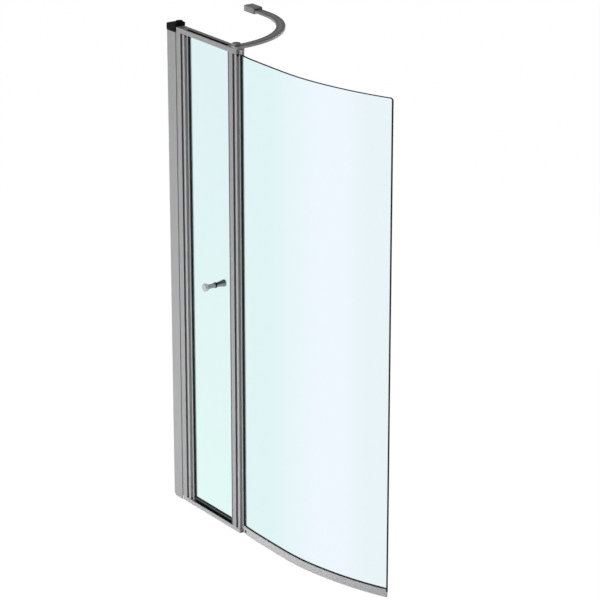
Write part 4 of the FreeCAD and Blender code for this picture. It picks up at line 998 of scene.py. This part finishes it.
# %% [markdown]
# ## Brace arm
# A flat bar with two shallow grooves on its top is bent flat on its side, round a quarter circle
# from the post to the wall. Its edges are eased, and so is its free end by the post. Stretching in
# the bend leaves long streaks, so its finish follows the bar's own length and girth.

# %% Arm path
ARM_HALF = 13.4
ARM_BEND_RADIUS = 258.0
ARM_END_EASE = 2.0
END_STATIONS, LEAD_STATIONS, TURN_STATIONS, TAIL_STATIONS = 6, 8, 72, 10

arm_low, arm_high = box_mm("brace_arm")
arm_reach = arm_high[0] - ARM_HALF
arm_depth = arm_high[1] - ARM_HALF
bend_centre = np.array((arm_reach - ARM_BEND_RADIUS, arm_depth - ARM_BEND_RADIUS))
end_steps = ARM_END_EASE * (1 - np.cos(np.linspace(0, math.pi / 2, END_STATIONS)))
straight = np.linspace(arm_low[1] + ARM_END_EASE, bend_centre[1], LEAD_STATIONS)[1:-1]
lead = np.concatenate([arm_low[1] + end_steps, straight])
turning = np.linspace(0, math.pi / 2, TURN_STATIONS)
tail = np.linspace(bend_centre[0], arm_low[0], TAIL_STATIONS)[1:]
round_out = np.stack([np.cos(turning), np.sin(turning)], axis=-1)
arm_path = np.concatenate([np.stack([np.full_like(lead, arm_reach), lead], axis=-1),
                           bend_centre + ARM_BEND_RADIUS * round_out,
                           np.stack([tail, np.full_like(tail, arm_depth)], axis=-1)])
arm_outward = np.concatenate([np.tile((1.0, 0.0), (len(lead), 1)), round_out,
                              np.tile((0.0, 1.0), (len(tail), 1))])
print("the arm's path has", len(arm_path), "stations")

# %% Brace arm
ARM_EASE, LINE_EASE = 1.4, 0.25
LINE_PLACE, LINE_HALF, LINE_DEPTH = 6.5, 0.8, 0.8

arm_foot, arm_top = arm_low[2], arm_high[2]
line_floor = arm_top - LINE_DEPTH
inner, outer = LINE_PLACE - LINE_HALF, LINE_PLACE + LINE_HALF
arm_corners = [(-ARM_HALF, arm_foot), (ARM_HALF, arm_foot), (ARM_HALF, arm_top),
               (outer, arm_top), (outer, line_floor), (inner, line_floor), (inner, arm_top),
               (-inner, arm_top), (-inner, line_floor), (-outer, line_floor), (-outer, arm_top),
               (-ARM_HALF, arm_top)]
arm_eases = [ARM_EASE] * 3 + [LINE_EASE] * 8 + [ARM_EASE]
arm_outline = rounded_outline(arm_corners, arm_eases)
arm_middle = np.array((0.0, (arm_foot + arm_top) / 2))
arm_halves = np.array((ARM_HALF, (arm_top - arm_foot) / 2))
inset = np.zeros(len(arm_path))
inset[:len(end_steps)] = ARM_END_EASE - np.sqrt(ARM_END_EASE ** 2 - (ARM_END_EASE - end_steps) ** 2)
arm_sections = arm_middle + (arm_outline - arm_middle) * (1 - inset[:, None, None] / arm_halves)
arm_rings = carry(arm_sections, arm_path, arm_outward)
arm_width = np.tile((arm_outline[:, 0] / ARM_HALF + 1) / 2, len(arm_path))
make_piece("bent_brace_arm", [arm_rings], arm_aluminium, "frame",
           ["brace_arm"], {"girth": girth_marks(arm_rings), "width": arm_width})

# %% [markdown]
# ## Turned pieces
# Knobs, the screw cap and the screws are turned on a lathe, so each is a line of radii carried
# round an axis. A socket screw is turned as well, and then a hexagon is pressed into its head.
# That is a ring whose radius is the hexagon's apothem divided by the cosine of the angle from
# the nearest flat's middle.

# %% Turning helpers
ROUND_STEPS = 72
RING_ANGLES = np.linspace(0, 2 * math.pi, ROUND_STEPS, endpoint=False)


def turned(profile, centre, axis):
    """Rings round an axis: at each distance a circle of the profile's radius, which may also be
    an array of one radius for each angle."""
    axis = np.asarray(axis, float)
    side = np.cross(axis, (0.0, 0.0, 1.0) if abs(axis[2]) < 0.5 else (1.0, 0.0, 0.0))
    spokes = (np.cos(RING_ANGLES)[:, None] * side
              + np.sin(RING_ANGLES)[:, None] * np.cross(axis, side))
    radii = np.stack([np.broadcast_to(radius, ROUND_STEPS) for radius, _ in profile])
    places = np.asarray(centre) + np.array([distance for _, distance in profile])[:, None] * axis
    return places[:, None] + radii[..., None] * spokes


def eased_edge(radius, place, ease, steps=6):
    """Quarter round from the wall at a radius to the flat at a place, as (radius, distance)."""
    angle = np.linspace(0, math.pi / 2, steps)
    radii = radius - ease + ease * np.cos(angle)
    return list(zip(radii, place - (ease - ease * np.sin(angle))))


# %% [markdown]
# ## Knobs
# The door has a knob on both faces, joined through the glass. The outer one has a slim neck that
# flares into a round head, and the inner one widens evenly to its rim. Both are chromed and bright
# on the end faces; their sides are duller and painted darker, as painted shade for the dark
# reflections there.

# %% Outer knob
KNOB_HEAD, KNOB_NECK, KNOB_FOOT = 12.0, 7.0, 8.0
HEAD_HEIGHT, FOOT_HEIGHT, FLARE_LENGTH = 6.0, 2.0, 12.0
KNOB_EASE, FOOT_EASE, NECK_FILLET = 1.2, 0.6, 0.3
FLARE_RINGS, HEAD_RINGS = 18, 8

knob_x, _, knob_z = middle_mm("knob_front")
knob_low, knob_high = box_mm("knob_front")
front_length = knob_high[1] - knob_low[1]
flare_start = front_length - HEAD_HEIGHT - FLARE_LENGTH
flare = np.linspace(0, 1, FLARE_RINGS)
flare_radii = KNOB_NECK + (KNOB_HEAD - KNOB_NECK) * (3 * flare ** 2 - 2 * flare ** 3)
front_profile = [(KNOB_FOOT, 0.0)]
front_profile += eased_edge(KNOB_FOOT, FOOT_HEIGHT, FOOT_EASE)
front_profile += [(KNOB_NECK + NECK_FILLET, FOOT_HEIGHT), (KNOB_NECK, FOOT_HEIGHT + NECK_FILLET)]
front_profile += list(zip(flare_radii, flare_start + FLARE_LENGTH * flare))
front_profile += eased_edge(KNOB_HEAD, front_length, KNOB_EASE)
front_rings = turned(front_profile, (knob_x, knob_high[1], knob_z), (0, -1, 0))


def neck_mark(rings, head):
    """One on every ring but those of the head, which are the last ones."""
    share = np.where(np.arange(len(rings)) < len(rings) - head, 1.0, 0.0)
    return {"neck": np.repeat(share, rings.shape[1])}


make_piece("outer_knob", [front_rings], chrome, "door", ["knob_front"],
           neck_mark(front_rings, HEAD_RINGS))

# %% Inner knob
REAR_RIM, REAR_FOOT, RIM_HEIGHT = 11.0, 6.0, 3.0
TAPER_RINGS, END_RINGS = 12, 1
rear_low, rear_high = box_mm("knob_rear")
rear_length = rear_high[1] - rear_low[1]
taper = np.linspace(0, 1, TAPER_RINGS)
taper_radii = REAR_FOOT + (REAR_RIM - REAR_FOOT) * taper
rear_profile = list(zip(taper_radii, (rear_length - RIM_HEIGHT) * taper))
rear_profile += eased_edge(REAR_RIM, rear_length, KNOB_EASE)
rear_rings = turned(rear_profile, (knob_x, rear_low[1], knob_z), (0, 1, 0))
make_piece("inner_knob", [rear_rings], chrome, "door", ["knob_rear"],
           neck_mark(rear_rings, END_RINGS))

# %% [markdown]
# A thin black washer lies between each knob and the glass. Only its rim shows, so a disc with one
# eased edge is enough.

# %% Knob washers
WASHER_RADIUS, WASHER_THICK, WASHER_EASE, WASHER_STEPS = 8.6, 1.2, 0.3, 4
washer_profile = [(WASHER_RADIUS, 0.0)]
washer_profile += eased_edge(WASHER_RADIUS, WASHER_THICK, WASHER_EASE, WASHER_STEPS)
washers = [turned(washer_profile, (knob_x, side * PANE_HALF, knob_z), (0, side, 0))
           for side in (-1, 1)]
make_piece("thin_washers", washers, black_moulding, "door", ["knob_washers"])

# %% [markdown]
# ## Screw cap and screws
# A flat grey cap with an eased rim hides the screw that holds the arm. The other screws are small
# socket screws; only their heads show.

# %% Screw cap
CAP_CROWN, CAP_EASE = 1.8, 0.7
cap_low, cap_high = box_mm("brace_screw_cap")
cap_radius = (cap_high[0] - cap_low[0]) / 2
cap_height = cap_high[2] - cap_low[2] + CAP_CROWN
cap_profile = [(cap_radius, 0.0)] + eased_edge(cap_radius, cap_height, CAP_EASE)
cap_foot = (*middle_mm("brace_screw_cap")[:2], cap_low[2])
make_piece("flat_screw_cap", [turned(cap_profile, cap_foot, (0, 0, 1))], cap_moulding, "frame",
           ["brace_screw_cap"])

# %% Socket screw
HEAD_EASE, SOCKET_WIDTH, SOCKET_FLOOR, TIP_WIDTH = 0.15, 0.5, 0.4, 0.6


def hexagon(apothem):
    """Radius of a hexagon at each angle: apothem / cos(angle from the nearest flat's middle)."""
    sector = math.pi / 3
    return apothem / np.cos((RING_ANGLES + sector / 2) % sector - sector / 2)


def socket_screw(seat, axis, head, shank):
    """Rings of a screw from shank tip to socket floor; head and shank are (radius, length)."""
    head_radius, head_height = head
    shank_radius, shank_length = shank
    socket = hexagon(head_radius * SOCKET_WIDTH)
    profile = [(shank_radius * TIP_WIDTH, -shank_length),
               (shank_radius, shank_radius - shank_length),
               (shank_radius, 0.0), (head_radius, 0.0)]
    profile += eased_edge(head_radius, head_height, head_height * HEAD_EASE)
    profile += [(socket, head_height), (socket, head_height * SOCKET_FLOOR)]
    return turned(profile, seat, axis)


# %% Frame screws
ADJUSTER_HEAD, ADJUSTER_SHANK, ADJUSTER_PITCH = (4.0, 2.4), (2.0, 14.0), 500.0
adjuster_x = middle_mm("adjustment_screws")[0]
adjuster_y = box_mm("adjustment_screws")[1][1] - ADJUSTER_HEAD[1]
adjusters = [socket_screw((adjuster_x, adjuster_y, step * ADJUSTER_PITCH), (0, 1, 0),
                          ADJUSTER_HEAD, ADJUSTER_SHANK) for step in (-1, 0, 1)]
make_piece("stile_socket_screws", adjusters, steel, "frame", ["adjustment_screws"])

CORNER_HEAD, CORNER_SHANK = (3.5, 3.5), (1.9, 32.0)
SILL_SEAT_RISE = 1.5
corner_low, corner_high = box_mm("corner_screws")
hinge_port, post_port = corner_low[0] + CORNER_HEAD[0], corner_high[0] - CORNER_HEAD[0]
upper, lower = corner_high[2] - CORNER_HEAD[1], corner_low[2] + CORNER_HEAD[1]
corner_seats = ((hinge_port, upper, 1), (post_port, upper, 1), (hinge_port, lower, -1),
                (post_port, lower + SILL_SEAT_RISE, -1))
corner_screws = [socket_screw((across, 0, height), (0, 0, way), CORNER_HEAD, CORNER_SHANK)
                 for across, height, way in corner_seats]
make_piece("corner_socket_screws", corner_screws, steel, "frame", ["corner_screws"])

END_HEAD, END_SHANK = (2.5, 2.5), (1.5, 21.5)
end_seat = (box_mm("end_bracket_screw")[1][0] - END_HEAD[1], *middle_mm("end_bracket_screw")[1:])
make_piece("end_socket_screw", [socket_screw(end_seat, (1, 0, 0), END_HEAD, END_SHANK)], steel,
           "frame", ["end_bracket_screw"])

# %% [markdown]
# One dark screw near the hinge bar holds the drip rail to the pane's foot. It points straight out
# of the bend, so its seat and its axis are taken from the bend's own path.

# %% Rail screw
RAIL_HEAD, RAIL_SHANK = (4.3, 1.4), (1.5, 7.0)
RAIL_HEAD_SEAT, RAIL_SCREW_INSET = 5.0, 12.5
screw_point, screw_outward = bend_path(np.array([RAIL_LEAD + RAIL_SCREW_INSET]))
screw_seat = (*(screw_point + RAIL_HEAD_SEAT * screw_outward)[0], middle_mm("panel_rail_screw")[2])
rail_screw = socket_screw(screw_seat, (*screw_outward[0], 0.0), RAIL_HEAD, RAIL_SHANK)
make_piece("rail_socket_screw", [rail_screw], dark_steel, "panel",
           ["panel_rail_screw"])
